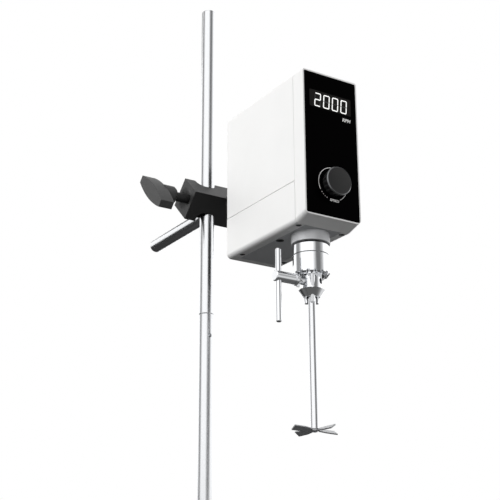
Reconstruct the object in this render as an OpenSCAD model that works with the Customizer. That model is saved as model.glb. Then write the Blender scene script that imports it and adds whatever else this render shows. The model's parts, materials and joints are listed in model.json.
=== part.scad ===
// Overhead stirrer on a rod stand: motor head with a keyed chuck, stirring shaft and propeller.
// Millimetres, +Z up. The origin is on the bench, under the axis of the stand rod.
// The head's own frame starts at the middle of the front panel's lower edge, with +Y to the rear.

/* [Stand] */
// Diameter of the stand rod
rod_d = 16; // [14:0.5:17]
// Length of each of the two screwed rod sections
rod_section = 368; // [360:1:400]
// Width of the base plate
base_w = 200; // [180:5:260]
// Length of the base plate
base_l = 320; // [300:5:400]
// Thickness of the base plate
base_t = 10; // [9:1:16]
// Corner radius of the base plate
base_r = 12; // [6:1:20]
// Thickness of the rubber mat under the base plate
mat_t = 2; // [1.5:0.5:4]
// Distance from the rod axis to the rear edge of the base plate
base_back = 40; // [30:1:60]
// Diameter of the screws that join the rod sections and the base
stud_d = 10; // [8:0.5:11]
// Length of the stud between the rod sections
stud_l = 18; // [14:1:24]
// Diameter of the cross hole for a tommy bar
tommy_d = 4.5; // [3:0.5:6]
// Distance of the cross hole below the rod joint
tommy_drop = 24; // [22:1:32]

/* [Clamp] */
// Height of the clamp and of the support rod above the bench
clamp_h = 508; // [490:1:530]
// Side of the clamp's square body
clamp_side = 33.7; // [31:0.1:36]
// Length of the clamp body
clamp_l = 75; // [72:1:82]
// Distance from the stand rod axis to the clamp's left end
clamp_left = 28.2; // [27:0.1:32]
// Distance between the axes of the two rods
rods_apart = 18.5; // [17.5:0.1:20]
// Extra length of the rod slot, towards the clamping screw
slot_extra = 7.5; // [5:0.5:9]
// Radius of the hollow in each end of the clamp
hollow_r = 13; // [9:0.5:15]
// Depth of the hollow in each end of the clamp
hollow_t = 3.5; // [2:0.5:5]

/* [Wing screws] */
// Length of the wing, tip to tip
wing_l = 63; // [50:1:66]
// Width of the wing at its middle
wing_w = 17; // [16:0.5:24]
// Width of the wing's cut ends
wing_tip = 8.5; // [5:0.5:10]
// Thickness of the wing along the screw
wing_t = 15.5; // [14:0.5:22]
// Distance from the clamp's end to the wing's inner face
wing_gap = 27; // [22:0.5:30]
// Radius of the hub between wing and clamp
hub_r = 10; // [8:0.5:12]
// Gap between the hub and the clamp's end
hub_gap = 13.5; // [8:0.5:16]
// Angle of the left wing above the horizontal
wing_angle = 44; // [0:1:90]
// Angle of the right wing above the horizontal
wing_angle_right = 100; // [0:1:180]
// Diameter of the clamping screws
screw_d = 10; // [8:0.5:12]
// Thickness of the brass pads on the screw tips
pad_t = 2; // [1.5:0.5:3]

/* [Support rod] */
// Diameter of the support rod
support_d = 15.6; // [14:0.2:16]
// Distance from the stand rod axis to the support rod's rear end
support_rear = 157.5; // [120:0.5:200]
// Depth of the rod's seat inside the head
socket_in = 24; // [18:1:30]

/* [Housing] */
// Width of the housing
house_w = 65; // [64:0.5:72]
// Depth of the housing
house_d = 141; // [139:1:150]
// Height of the housing
house_h = 155.8; // [154:0.2:166]
// Wall thickness of the shells
wall = 2.5; // [2:0.1:3]
// Radius of the upper long edges
top_r = 2; // [1:0.25:4]
// Radius of the lower long edges
low_r = 5; // [3:0.25:7]
// White rim around the front panel
rim = 1.4; // [1:0.1:2]
// Depth of the underside below the panel's lower edge
chin = 6.4; // [6:0.1:8.6]
// Depth of the front bezel
bezel_d = 16.8; // [16:0.1:20]
// Height of the shells' seam above the panel's lower edge
seam_h = 36.5; // [32:0.5:45]
// Width of the open seams between shells and bezel
seam_gap = 0.5; // [0.3:0.1:0.8]
// Height of the support rod above the panel's lower edge
rod_height = 79.3; // [74:0.1:82]
// Gap between the stand rod axis and the housing's rear face
house_reach = 65.5; // [60:0.5:80]

/* [Front panel] */
// Thickness of the black front panel
panel_t = 1; // [0.8:0.1:1.5]
// Corner radius of the front panel
panel_r = 1.5; // [0.5:0.25:3]
// Width of the display window
window_w = 50; // [46:0.5:54]
// Height of the display window
window_h = 18.2; // [16:0.2:20]
// Height of the window's middle above the panel's lower edge
window_z = 120.2; // [114:0.2:126]
// Height of the knob's axis above the panel's lower edge
knob_z = 33.7; // [30:0.1:40]
// Radius of the knob's front edge
knob_r = 14.4; // [12:0.2:16]
// Radius of the knob at its back
knob_back_r = 12.4; // [11:0.2:14]
// How far the knob stands out of the panel
knob_out = 11; // [9:0.5:15]
// Number of grip flutes round the knob
knob_flutes = 18; // [12:1:24]

/* [Drive] */
// Distance of the spindle axis behind the panel
spindle_y = 38.5; // [38:0.5:42]
// Diameter of the spindle
spindle_d = 12; // [12:0.5:14]
// Outer diameter of the spindle bearings
bearing_od = 28; // [28:0.5:29]
// Width of the spindle bearings
bearing_b = 8; // [7:0.5:9]
// Radius of the shroud under the housing
shroud_r = 18.9; // [18.5:0.1:20]
// How far the shroud reaches below the panel's lower edge
shroud_drop = 16.5; // [16:0.1:19]
// Module of the gears
gear_m = 0.8; // [0.7:0.05:0.85]
// Teeth of the spindle's gear
gear_teeth = 54; // [48:6:54]
// Teeth of the motor's pinion
pinion_teeth = 18; // [18:2:20]
// Width of the spindle's gear
gear_b = 7; // [5:0.5:8]
// Backlash between the gears
backlash = 0.16; // [0.1:0.02:0.3]
// Diameter of the motor
motor_d = 52; // [46:1:54]
// Height of the motor
motor_h = 62; // [50:1:66]
// Diameter of the motor shaft
motor_shaft_d = 6; // [5:0.5:7]
// Thickness of the aluminium chassis plate
chassis_t = 8; // [6:0.5:10]
// Thickness of the motor plate
motor_plate_t = 4; // [3:0.5:6]

/* [Chuck] */
// Radius of the chuck's sleeve and back ring
chuck_r = 17.7; // [17:0.1:18.5]
// Gap between the shroud and the chuck
chuck_gap = 1.4; // [1:0.1:2]
// Height of the chuck's back ring
ring_h = 10; // [8:0.5:11]
// Height of the toothed sleeve
sleeve_h = 20.5; // [20:0.5:24]
// Radius of the chuck's core inside the sleeve
core_r = 12.6; // [12:0.1:13]
// Depth of the sleeve's teeth
tooth_t = 2.8; // [2:0.1:3.5]
// Radius of the chuck's nose above its cone
nose_r = 10; // [9.6:0.1:10.4]
// Length of the chuck's nose above its cone
nose_h = 13.4; // [13:0.1:14.5]
// Radius of the rim of the nose cone
cone_r = 12.6; // [12:0.1:13.5]
// Height of the nose cone
cone_h = 7.4; // [6.5:0.1:9]
// Diameter of the jaws
jaw_d = 5.2; // [4.6:0.1:5.4]
// Lean of the jaws from the chuck's axis
jaw_lean = 10; // [8:0.5:10.5]
// How far the jaws stand out of the nose cone
jaw_out = 5.4; // [4:0.2:7]
// Opening travel of the jaws along their bores
jaw_travel = 1.5; // [1:0.1:1.6]

/* [Chuck key] */
// Height of the key's axis below the sleeve's lower edge
key_drop = 5.6; // [5.5:0.1:6]
// Radius over the key's teeth
key_tip_r = 7; // [6.8:0.1:7.1]
// Radius of the key's shank
key_shank_r = 5.2; // [4.6:0.1:6]
// Distance from the chuck's axis to the key's outer end
key_reach = 42.5; // [40:0.5:48]
// Distance from the chuck's axis to the key's cross bar
bar_reach = 38; // [34:0.5:38.5]
// Diameter of the cross bar
bar_d = 5.6; // [4:0.2:6]
// Length of the cross bar
bar_l = 72; // [60:1:84]
// Length of the cross bar above the key
bar_up = 27.5; // [20:0.5:30]

/* [Stirring shaft] */
// Diameter of the stirring shaft
shaft_d = 8; // [7:0.5:9]
// Height of the propeller's middle below the panel's lower edge
prop_drop = 196; // [150:1:214]
// Diameter of the propeller
prop_d = 51; // [45:1:70]
// Width of a blade at its tip
blade_w = 6.4; // [5:0.2:12]
// Distance from the axis at which a blade reaches its full width
blade_shoulder = 12; // [9:0.5:16]
// Thickness of a blade
blade_t = 1.2; // [0.8:0.1:2]
// Pitch of the blades from the horizontal
blade_pitch = 34; // [20:1:50]
// Turn of the propeller on its shaft
blade_turn = 5; // [0:1:89]
// Height of the rivet head under the propeller
rivet_h = 1.4; // [1:0.1:2.5]

/* [Rear] */
// Width of the mains inlet's opening
inlet_w = 24; // [22:0.5:26]
// Height of the mains inlet's opening
inlet_h = 16.5; // [15:0.5:18]
// Depth of the mains inlet's recess
inlet_deep = 16; // [14:0.5:18]
// Height of the inlet's middle above the panel's lower edge
inlet_z = 15; // [14:0.5:20]
// Width of the power switch
switch_w = 19; // [15:0.5:24]
// Height of the power switch
switch_h = 13; // [10:0.5:15]
// Height of the switch's middle above the panel's lower edge
switch_z = 43; // [42:0.5:48]

/* [Hidden] */
$fn = 72;

// Running clearance between a shaft and its hole, on the radius
run = 0.05;
// Gap between a curved face and what lies against it on another body
rest_gap = 0.3;
// Overlap that cuts a clean hole
cut = 1;
// Thin overlap at the mouth of a cone that is cut or joined
skin = 0.01;

base_top = mat_t + base_t;
rod_joint = base_top + rod_section;
head_y = -house_reach - house_d;
head_z = clamp_h - rod_height;
panel_w = house_w - 2 * rim;
panel_h = house_h - chin - rim;
floor_z = -chin;
roof_z = panel_h + rim;

// Teeth of the chuck's sleeve and of its key, which set how far the key turns the sleeve
sleeve_teeth = 16;
key_teeth = 6;

bench_mat_inset = 3;
chamfer = 0.6;
head_low_h = 5.5;
socket_head_d = 16;
base_hex_d = 7;
base_hex_t = 4;

hub_cone_l = 3;
slot_x = -slot_extra;
screw_tip = rod_d / 2 + rest_gap;
clamp_right = clamp_l - clamp_left;
support_front = -house_reach - socket_in;

// Moves a piece from the head's own frame to the bench's frame
module in_head() {
    translate([rods_apart, head_y, head_z]) children();
}

// Moves a piece to the spindle's axis, with Z as in the head's frame
module on_spindle() {
    in_head() translate([0, spindle_y, 0]) children();
}

// Extrudes an outline drawn in X and Z from depth y0 to y1
module along_y(y0, y1) {
    translate([0, y1, 0]) rotate([90, 0, 0]) linear_extrude(y1 - y0) children();
}

// Extrudes an outline drawn in Y and Z from x0 to x1
module along_x(x0, x1) {
    translate([x0, 0, 0]) rotate([90, 0, 90]) linear_extrude(x1 - x0) children();
}

// Flat rectangle with round corners, centred
module round_rect(w, l, r) {
    square([w - 2 * r, l], center = true);
    square([w, l - 2 * r], center = true);
    for (sx = [-1, 1], sy = [-1, 1])
        translate([sx * (w / 2 - r), sy * (l / 2 - r)]) circle(r);
}

// Outline from z0 to z1 with its own radius at the top and at the bottom corners
module box_outline(w, z0, z1, r_top, r_low) {
    translate([-w / 2 + r_low, z0]) square([w - 2 * r_low, z1 - z0 - r_top]);
    translate([-w / 2 + r_top, z0 + r_low]) square([w - 2 * r_top, z1 - z0 - r_low]);
    translate([-w / 2, z0 + r_low]) square([w, z1 - z0 - r_low - r_top]);
    for (s = [-1, 1]) {
        translate([s * (w / 2 - r_top), z1 - r_top]) circle(r_top);
        translate([s * (w / 2 - r_low), z0 + r_low]) circle(r_low);
    }
}

// Section of the housing, made smaller by inset on every side
module house_outline(inset) {
    box_outline(house_w - 2 * inset, floor_z + inset, roof_z - inset,
        max(top_r - inset, 0.4), max(low_r - inset, 0.4));
}

// Round bar along Z with chamfered ends
module bar(d, l, c) {
    rotate_extrude() polygon([[0, 0], [d / 2 - c, 0], [d / 2, c], [d / 2, l - c], [d / 2 - c, l], [0, l]]);
}

// Ring along Z
module ring(r_out, r_in, h) {
    difference() {
        cylinder(r = r_out, h = h);
        translate([0, 0, -cut]) cylinder(r = r_in, h = h + 2 * cut);
    }
}

// Countersunk screw with its head's face at z = 0, pointing up
module flat_screw(r, head_r, l, slot_w) {
    head_h = head_r - r;
    difference() {
        union() {
            cylinder(r1 = head_r, r2 = r, h = head_h);
            cylinder(r = r, h = l);
        }
        for (a = [0, 90]) rotate(a) translate([-head_r * 0.6, -slot_w / 2, -cut]) cube([head_r * 1.2, slot_w, cut + head_h * 0.6]);
    }
}

/* Stand */

module base_mat() color("#1b1b1c")
    translate([0, base_back - base_l / 2, 0]) linear_extrude(mat_t)
        round_rect(base_w - 2 * bench_mat_inset, base_l - 2 * bench_mat_inset, base_r - bench_mat_inset);

module base_plate() color("#2a2b2d") difference() {
    translate([0, base_back - base_l / 2, mat_t]) linear_extrude(base_t) round_rect(base_w, base_l, base_r);
    translate([0, 0, mat_t - cut]) cylinder(d = stud_d + 2 * run, h = base_t + 2 * cut);
    translate([0, 0, mat_t - cut]) cylinder(d = socket_head_d + 1, h = head_low_h + cut);
}

module base_screw() color("#8d9093") difference() {
    union() {
        translate([0, 0, mat_t]) cylinder(d = socket_head_d, h = head_low_h);
        translate([0, 0, mat_t]) cylinder(d = stud_d, h = base_t + stud_l);
    }
    translate([0, 0, mat_t - cut]) cylinder(d = base_hex_d, h = base_hex_t + cut, $fn = 6);
}

module lower_rod() color("#c9ccd0") difference() {
    translate([0, 0, base_top]) bar(rod_d, rod_section, chamfer);
    translate([0, 0, base_top - cut]) cylinder(d = stud_d + 2 * run, h = stud_l + 1 + cut);
    translate([0, 0, rod_joint - stud_l - 1]) cylinder(d = stud_d + 2 * run, h = stud_l + 1 + cut);
    translate([0, 0, rod_joint - tommy_drop]) rotate([90, 0, 0]) cylinder(d = tommy_d, h = rod_d + 2 * cut, center = true);
}

module upper_rod() color("#c9ccd0") translate([0, 0, rod_joint]) {
    bar(rod_d, rod_section, chamfer);
    translate([0, 0, -stud_l]) cylinder(d = stud_d, h = stud_l + cut);
}

/* Clamp */

// Hollow end face round a clamping screw, opening towards -X
module end_hollow() {
    rotate([0, 90, 0]) translate([0, 0, -skin]) cylinder(r1 = hollow_r, r2 = screw_d / 2, h = hollow_t);
}

module clamp_body() color("#232324") translate([0, 0, clamp_h]) difference() {
    translate([-clamp_left, 0, 0]) rotate([45, 0, 0]) translate([0, -clamp_side / 2, -clamp_side / 2])
        cube([clamp_l, clamp_side, clamp_side]);
    for (x = [slot_x, 0]) translate([x, 0, 0]) cylinder(d = rod_d + 2 * run, h = 2 * clamp_side, center = true);
    translate([slot_x, -rod_d / 2 - run, -clamp_side]) cube([slot_extra, rod_d + 2 * run, 2 * clamp_side]);
    translate([rods_apart, 0, 0]) rotate([90, 0, 0])
        cylinder(d = support_d + 2 * run, h = 2 * clamp_side, center = true);
    translate([-clamp_left - cut, 0, 0]) rotate([0, 90, 0]) cylinder(d = screw_d + 2 * run, h = clamp_left + cut);
    translate([rods_apart, 0, 0]) rotate([0, 90, 0]) cylinder(d = screw_d + 2 * run, h = clamp_right + cut);
    translate([-clamp_left, 0, 0]) end_hollow();
    translate([clamp_right, 0, 0]) mirror([1, 0, 0]) end_hollow();
}

// Outline of a wing: two arcs that meet in cut ends
module wing_outline() {
    rise = (wing_w - wing_tip) / 2;
    arc_r = (pow(wing_l / 2, 2) + pow(rise, 2)) / (2 * rise);
    intersection() {
        for_both(arc_r - wing_w / 2) circle(arc_r, $fn = 180);
        square([wing_l, wing_w + 2], center = true);
    }
}

// The part that two copies of a shape, moved up and down by d, have in common
module for_both(d) {
    intersection() {
        translate([0, d]) children();
        translate([0, -d]) children();
    }
}

// Wing knob of a screw along X: hub from 0, wing from hub_l on, pointing towards +X
module wing_knob(angle) {
    hub_l = wing_gap - hub_gap;
    difference() {
        union() {
            along_x(hub_l, hub_l + wing_t) rotate(angle) wing_outline();
            rotate([0, 90, 0]) cylinder(r1 = hub_r - 2, r2 = hub_r, h = hub_cone_l);
            translate([hub_cone_l, 0, 0]) rotate([0, 90, 0]) cylinder(r = hub_r, h = hub_l - hub_cone_l + cut);
        }
        translate([-cut, 0, 0]) rotate([0, 90, 0]) cylinder(d = screw_d, h = hub_l + cut);
    }
}

module rod_wing_knob() color("#3a3a3b")
    translate([-clamp_left - hub_gap, 0, clamp_h]) mirror([1, 0, 0]) wing_knob(wing_angle);

module rod_clamp_screw() color("#9a9da1")
    translate([-screw_tip - pad_t, 0, clamp_h]) rotate([0, -90, 0])
        cylinder(d = screw_d, h = clamp_left + wing_gap - screw_tip - pad_t);

module rod_pad() color("#b08d48")
    translate([-screw_tip, 0, clamp_h]) rotate([0, -90, 0]) cylinder(d = screw_d - 1, h = pad_t);

support_tip = rods_apart + support_d / 2 + rest_gap;

module support_wing_knob() color("#3a3a3b")
    translate([clamp_right + hub_gap, 0, clamp_h]) wing_knob(wing_angle_right);

module support_clamp_screw() color("#9a9da1")
    translate([support_tip + pad_t, 0, clamp_h]) rotate([0, 90, 0])
        cylinder(d = screw_d, h = clamp_right + wing_gap - support_tip - pad_t);

module support_pad() color("#b08d48")
    translate([support_tip, 0, clamp_h]) rotate([0, 90, 0]) cylinder(d = screw_d - 1, h = pad_t);

/* Support rod and its seat in the head */

bolt_d = 6;
bolt_head_d = 10;
bolt_head_h = 6;
bolt_hex_d = 5.5;
bolt_in = 15;
socket_wall = 5;

module support_rod() color("#a9acb0") translate([rods_apart, support_rear, clamp_h]) difference() {
    rotate([90, 0, 0]) bar(support_d, support_rear - support_front, 1.2);
    translate([0, support_front - support_rear - cut, 0]) rotate([-90, 0, 0]) cylinder(d = bolt_d, h = bolt_in + 1 + cut);
}

module rod_bolt() color("#8d9093") translate([rods_apart, support_front, clamp_h]) difference() {
    union() {
        translate([0, -socket_wall - bolt_head_h, 0]) rotate([-90, 0, 0]) cylinder(d = bolt_head_d, h = bolt_head_h);
        translate([0, -socket_wall - 1, 0]) rotate([-90, 0, 0]) cylinder(d = bolt_d, h = socket_wall + 1 + bolt_in);
    }
    translate([0, -socket_wall - bolt_head_h - cut, 0]) rotate([-90, 0, 0])
        cylinder(d = bolt_hex_d, h = bolt_head_h / 2 + cut, $fn = 6);
}

// Aluminium block behind the rear cover, with a collar that shows round the rod
socket_w = 50;
socket_h = 30;
socket_leg_w = 7;
collar_r = 14;
collar_out = 3;
cover_t = 2.5;

module rod_socket() color("#b4b7ba") in_head() difference() {
    union() {
        translate([-socket_w / 2, house_d - socket_in - socket_wall, rod_height - socket_h / 2])
            cube([socket_w, socket_in + socket_wall - cover_t, socket_h]);
        translate([0, house_d + collar_out, rod_height]) rotate([90, 0, 0]) cylinder(r = collar_r, h = 10);
        for (s = [-1, 1])
            translate([s * (socket_w - socket_leg_w) / 2 - socket_leg_w / 2, house_d - socket_in - socket_wall, chassis_top])
                cube([socket_leg_w, 10, rod_height - chassis_top]);
    }
    translate([0, house_d + collar_out + cut, rod_height]) rotate([90, 0, 0])
        cylinder(d = support_d + 2 * run, h = socket_in + collar_out + cut);
    translate([0, house_d, rod_height]) rotate([90, 0, 0]) cylinder(d = bolt_d + 2 * run, h = socket_in + socket_wall + cut);
}

/* Front bezel, panel, display and knob */

front_wall = 3;
boss_r = 3;
board_y = 6.5;
board_t = 1.6;
board_margin = 6;
board_w = panel_w - 8;
board_z0 = 12;
board_z1 = panel_h - board_margin;
pot_r = 8;
pot_h = 7;
pot_shaft_r = 3;
bush_r = 4.5;
board_holes = [for (sx = [-1, 1], z = [board_z0 + 4, board_z1 - 4]) [sx * (board_w / 2 - 4), z]];

// The bezel's outer form: its underside falls from the panel's edge to the housing's floor
module bezel_form() hull() {
    along_y(0, skin) box_outline(house_w, -rim, roof_z, top_r, low_r, $fn = 32);
    along_y(bezel_d - skin, bezel_d) box_outline(house_w, floor_z, roof_z, top_r, low_r, $fn = 32);
}

module front_bezel() color("#f2f2f0") in_head() difference() {
    union() {
        difference() {
            bezel_form();
            translate([-house_w / 2 + wall, front_wall, wall])
                cube([house_w - 2 * wall, bezel_d, roof_z - 2 * wall]);
            translate([0, -cut, 0]) along_y(0, panel_t + cut)
                translate([0, panel_h / 2]) round_rect(panel_w, panel_h, panel_r);
        }
        for (p = board_holes) translate([p[0], board_y, p[1]]) rotate([90, 0, 0]) cylinder(r = boss_r, h = board_y - panel_t - 0.5);
    }
    translate([-window_w / 2 + 1, -cut, window_z - window_h / 2 + 1]) cube([window_w - 2, front_wall + 2 * cut, window_h - 2]);
    translate([0, front_wall + cut, knob_z]) rotate([90, 0, 0]) cylinder(r = bush_r + 0.2, h = front_wall + 2 * cut);
    for (p = board_holes) translate([p[0], board_y + cut, p[1]]) rotate([90, 0, 0]) cylinder(r = 1.25, h = 4 + cut);
}

module front_panel() color("#0c0c0d") in_head() difference() {
    along_y(0, panel_t) translate([0, panel_h / 2]) round_rect(panel_w - 0.1, panel_h - 0.1, panel_r);
    translate([0, -cut, window_z]) along_y(0, panel_t + 2 * cut) round_rect(window_w, window_h, 1.2);
    translate([0, panel_t + cut, knob_z]) rotate([90, 0, 0]) cylinder(r = bush_r + 0.2, h = panel_t + 2 * cut);
}

module display_window() color("#1c1a19") in_head()
    translate([0, 0, window_z]) along_y(0.1, panel_t) round_rect(window_w - 0.1, window_h - 0.1, 1.15);

module display_module() color("#26282a") in_head()
    translate([-window_w / 2 + 1.5, panel_t + 0.2, window_z - window_h / 2 + 1.5])
        cube([window_w - 3, board_y - panel_t - 0.2, window_h - 3]);

module control_board() color("#2f6b3f") in_head() difference() {
    translate([-board_w / 2, board_y, board_z0]) cube([board_w, board_t, board_z1 - board_z0]);
    translate([0, board_y - cut, knob_z]) rotate([-90, 0, 0]) cylinder(r = bush_r + 0.1, h = board_t + 2 * cut);
    for (p = board_holes) translate([p[0], board_y - cut, p[1]]) rotate([-90, 0, 0]) cylinder(r = 1.4, h = board_t + 2 * cut);
}

module board_screws() color("#a9acb0") in_head() for (p = board_holes)
    translate([p[0], board_y + board_t, p[1]]) rotate([-90, 0, 0]) {
        difference() {
            cylinder(r = 2.5, h = 1.6);
            translate([-3, -0.3, 0.9]) cube([6, 0.6, 2]);
        }
        translate([0, 0, -board_t - 3]) cylinder(r = 1.25, h = board_t + 3 + 0.5);
    }

module speed_pot() color("#5d6064") in_head() translate([0, board_y + board_t, knob_z]) rotate([90, 0, 0]) difference() {
    union() {
        translate([0, 0, -pot_h]) cylinder(r = pot_r, h = pot_h);
        cylinder(r = bush_r, h = board_y + board_t - 0.2);
    }
    translate([0, 0, -pot_h + 2]) cylinder(r = pot_shaft_r + run, h = 40);
}

knob_gap = 0.8;

module speed_pot_shaft() color("#c9ccd0") in_head() translate([0, board_y + board_t + pot_h - 2.2, knob_z]) rotate([90, 0, 0])
    cylinder(r = pot_shaft_r, h = board_y + board_t + pot_h - 2.2 + knob_out - 3);

module speed_knob() color("#2c2c2d") in_head() translate([0, -knob_gap, knob_z]) rotate([90, 0, 0]) difference() {
    rotate_extrude() polygon([[0, 0], [knob_back_r, 0], [knob_r - 0.6, knob_out - knob_gap - 2.6],
        [knob_r, knob_out - knob_gap - 1.8], [knob_r, knob_out - knob_gap - 0.8],
        [knob_r - 0.8, knob_out - knob_gap], [0, knob_out - knob_gap]]);
    translate([0, 0, -cut]) cylinder(r = pot_shaft_r, h = knob_out - knob_gap - 3 + cut);
    for (k = [0 : knob_flutes - 1]) rotate(k * 360 / knob_flutes)
        translate([knob_back_r + 1.2, 0, -cut]) cylinder(r = 1.6, h = knob_out - knob_gap - 3 + cut);
}

/* Housing shells */

lip_t = 1.2;
lip_h = 3;
lip_in = 4;
shell_y0 = bezel_d + seam_gap;
plate_w = 43;
plate_y1 = 133;
plate_t = 2;
cover_gap = 0.2;
post_r = 3.2;
post_l = 12;
cover_y = house_d - cover_t;

// Screw places under the housing: [x, y]
shell_holes = [for (s = [-1, 1]) each [[s * 25.3, 22], [s * 25.3, 122.5]]];
// Screw places in the rear cover: [x, z]
cover_holes = [for (s = [-1, 1]) each [[s * (house_w / 2 - wall - post_r), floor_z + wall + post_r + 1.5],
    [s * (house_w / 2 - wall - post_r), roof_z - wall - post_r]]];

// Screw posts of the rear cover that stand between heights z0 and z1
module cover_posts(z0, z1) {
    for (p = cover_holes) if (p[1] > z0 && p[1] < z1)
        translate([p[0], cover_y, p[1]]) rotate([90, 0, 0]) difference() {
            cylinder(r = post_r + 0.3, h = post_l);
            translate([0, 0, -cut]) cylinder(r = 1.3, h = post_l + 2 * cut);
        }
}

module upper_shell() color("#f4f4f2") in_head() union() {
    along_y(shell_y0, house_d) difference() {
        intersection() {
            house_outline(0);
            translate([-house_w, seam_h + seam_gap / 2]) square([2 * house_w, house_h]);
        }
        house_outline(wall);
    }
    cover_posts(seam_h, roof_z);
}

module lower_shell() color("#f4f4f2") in_head() union() {
    difference() {
        along_y(shell_y0, house_d) difference() {
            intersection() {
                house_outline(0);
                translate([-house_w, floor_z - cut]) square([2 * house_w, seam_h - seam_gap / 2 - floor_z + cut]);
            }
            house_outline(wall);
        }
        translate([-plate_w / 2, 0, floor_z - cut]) cube([plate_w, plate_y1, wall + 2 * cut]);
        for (p = shell_holes) translate([p[0], p[1], floor_z - cut]) cylinder(r = 1.6, h = wall + 2 * cut);
        for (p = shell_holes) translate([p[0], p[1], floor_z - skin]) cylinder(r1 = 3.4, r2 = 1.6, h = 1.8);
    }
    along_y(shell_y0 + 1, cover_y - 0.5) for (s = [-1, 1])
        translate([s * (house_w / 2 - wall - lip_t / 2) - lip_t / 2, seam_h - lip_in])
            square([lip_t, lip_in + lip_h]);
    cover_posts(floor_z, seam_h);
}

module bottom_plate() color("#55585b") in_head() difference() {
    translate([-plate_w / 2 + 0.25, shell_y0, floor_z]) cube([plate_w - 0.5, plate_y1 - shell_y0 - 0.25, plate_t]);
    translate([0, spindle_y, floor_z - cut]) cylinder(r = shroud_r + 0.2, h = plate_t + 2 * cut);
    for (p = plate_holes) translate([p[0], p[1], floor_z - skin]) cylinder(r1 = 4.4, r2 = 2.4, h = plate_t + 2 * skin);
}

module shell_screws() color("#1c1c1d") in_head() {
    for (p = shell_holes) translate([p[0], p[1], floor_z + 0.3]) flat_screw(1.5, 3, wall + chassis_t * 0.6, 0.7);
    for (p = plate_holes) translate([p[0], p[1], floor_z + 0.1]) flat_screw(2.2, 4.1, plate_t + chassis_t * 0.7, 1);
}

module rear_cover() color("#2b2c2e") in_head() difference() {
    along_y(cover_y, house_d) house_outline(wall + cover_gap);
    translate([0, house_d + cut, rod_height]) rotate([90, 0, 0]) cylinder(r = collar_r + 0.2, h = cover_t + 2 * cut);
    translate([-inlet_w / 2 - 2, cover_y - cut, inlet_z - inlet_h / 2 - 2]) cube([inlet_w + 4, cover_t + 2 * cut, inlet_h + 4]);
    translate([-switch_w / 2, cover_y - cut, switch_z - switch_h / 2]) cube([switch_w, cover_t + 2 * cut, switch_h]);
    for (p = cover_holes) translate([p[0], house_d + skin, p[1]]) rotate([90, 0, 0]) cylinder(r1 = 3, r2 = 1.5, h = 1.6);
    for (p = cover_holes) translate([p[0], house_d + cut, p[1]]) rotate([90, 0, 0]) cylinder(r = 1.5, h = cover_t + 2 * cut);
    for (k = [0 : vent_n - 1]) translate([-vent_w / 2, cover_y - cut, vent_z + k * vent_pitch])
        cube([vent_w, cover_t + 2 * cut, vent_h]);
}

vent_n = 6;
vent_w = 36;
vent_h = 2.2;
vent_z = 106;
vent_pitch = 5.5;

module cover_screws() color("#8d9093") in_head() for (p = cover_holes)
    translate([p[0], house_d - 0.1, p[1]]) rotate([90, 0, 0]) flat_screw(1.25, 2.6, cover_t + 6, 0.6);

/* Mains inlet, switch and power board */

inlet_lip = 1.5;
inlet_wall = 1.8;
pin_w = 2;
pin_h = 4;
pin_apart = 14;

module power_inlet() color("#1d1d1e") in_head() translate([0, house_d, inlet_z]) difference() {
    union() {
        translate([-inlet_w / 2 - 3.5, 0, -inlet_h / 2 - 3.2]) cube([inlet_w + 7, inlet_lip, inlet_h + 6.4]);
        translate([-inlet_w / 2 - inlet_wall, -inlet_deep - 1, -inlet_h / 2 - inlet_wall])
            cube([inlet_w + 2 * inlet_wall, inlet_deep + 1 + 0.5, inlet_h + 2 * inlet_wall]);
        for (p = [[-pin_apart / 2, -2], [pin_apart / 2, -2], [0, 2]]) inlet_pin(p);
    }
    difference() {
        translate([-inlet_w / 2, -inlet_deep + inlet_lip, -inlet_h / 2]) cube([inlet_w, inlet_deep + cut, inlet_h]);
        for (p = [[-pin_apart / 2, -2], [pin_apart / 2, -2], [0, 2]]) inlet_pin(p);
    }
}

// One flat contact pin of the inlet
module inlet_pin(p) {
    translate([p[0] - pin_w / 2, -inlet_deep, p[1] - pin_h / 2]) cube([pin_w, inlet_deep - 2, pin_h]);
}

switch_wall = 1.3;
switch_lip = 1.5;
switch_lip_t = 1.2;
switch_deep = 14;
rocker_gap = 0.35;
rocker_in = 3;
rocker_r = switch_h / 2 - switch_wall - rocker_gap;
dish_r = 14;
rocker_tilt = 8;

module switch_frame() color("#1d1d1e") in_head() translate([0, house_d, switch_z]) difference() {
    union() {
        translate([-switch_w / 2 - switch_lip, 0, -switch_h / 2 - switch_lip])
            cube([switch_w + 2 * switch_lip, switch_lip_t, switch_h + 2 * switch_lip]);
        translate([-switch_w / 2 + 2 * run, -switch_deep, -switch_h / 2 + 2 * run])
            cube([switch_w - 4 * run, switch_deep + 0.5, switch_h - 4 * run]);
    }
    translate([-switch_w / 2 + switch_wall, -9, -switch_h / 2 + switch_wall])
        cube([switch_w - 2 * switch_wall, 12, switch_h - 2 * switch_wall]);
}

// Rocker that turns about X: a round back with a dished front
module switch_rocker() color("#141415") in_head() translate([0, house_d - rocker_in, switch_z]) rotate([-rocker_tilt, 0, 0])
    along_x(-switch_w / 2 + switch_wall + rocker_gap, switch_w / 2 - switch_wall - rocker_gap) difference() {
        circle(rocker_r);
        translate([rocker_r * 0.72 + dish_r, 0]) circle(dish_r);
    }

power_z = 12;
power_y0 = 98;
power_y1 = 120;
power_w = 34;
power_holes = [for (sx = [-1, 1], y = [power_y0 + 4, power_y1 - 4]) [sx * (power_w / 2 - 4), y]];

module power_board() color("#2f6b3f") in_head()
    translate([-power_w / 2, power_y0, power_z]) cube([power_w, power_y1 - power_y0, board_t]);

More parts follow.
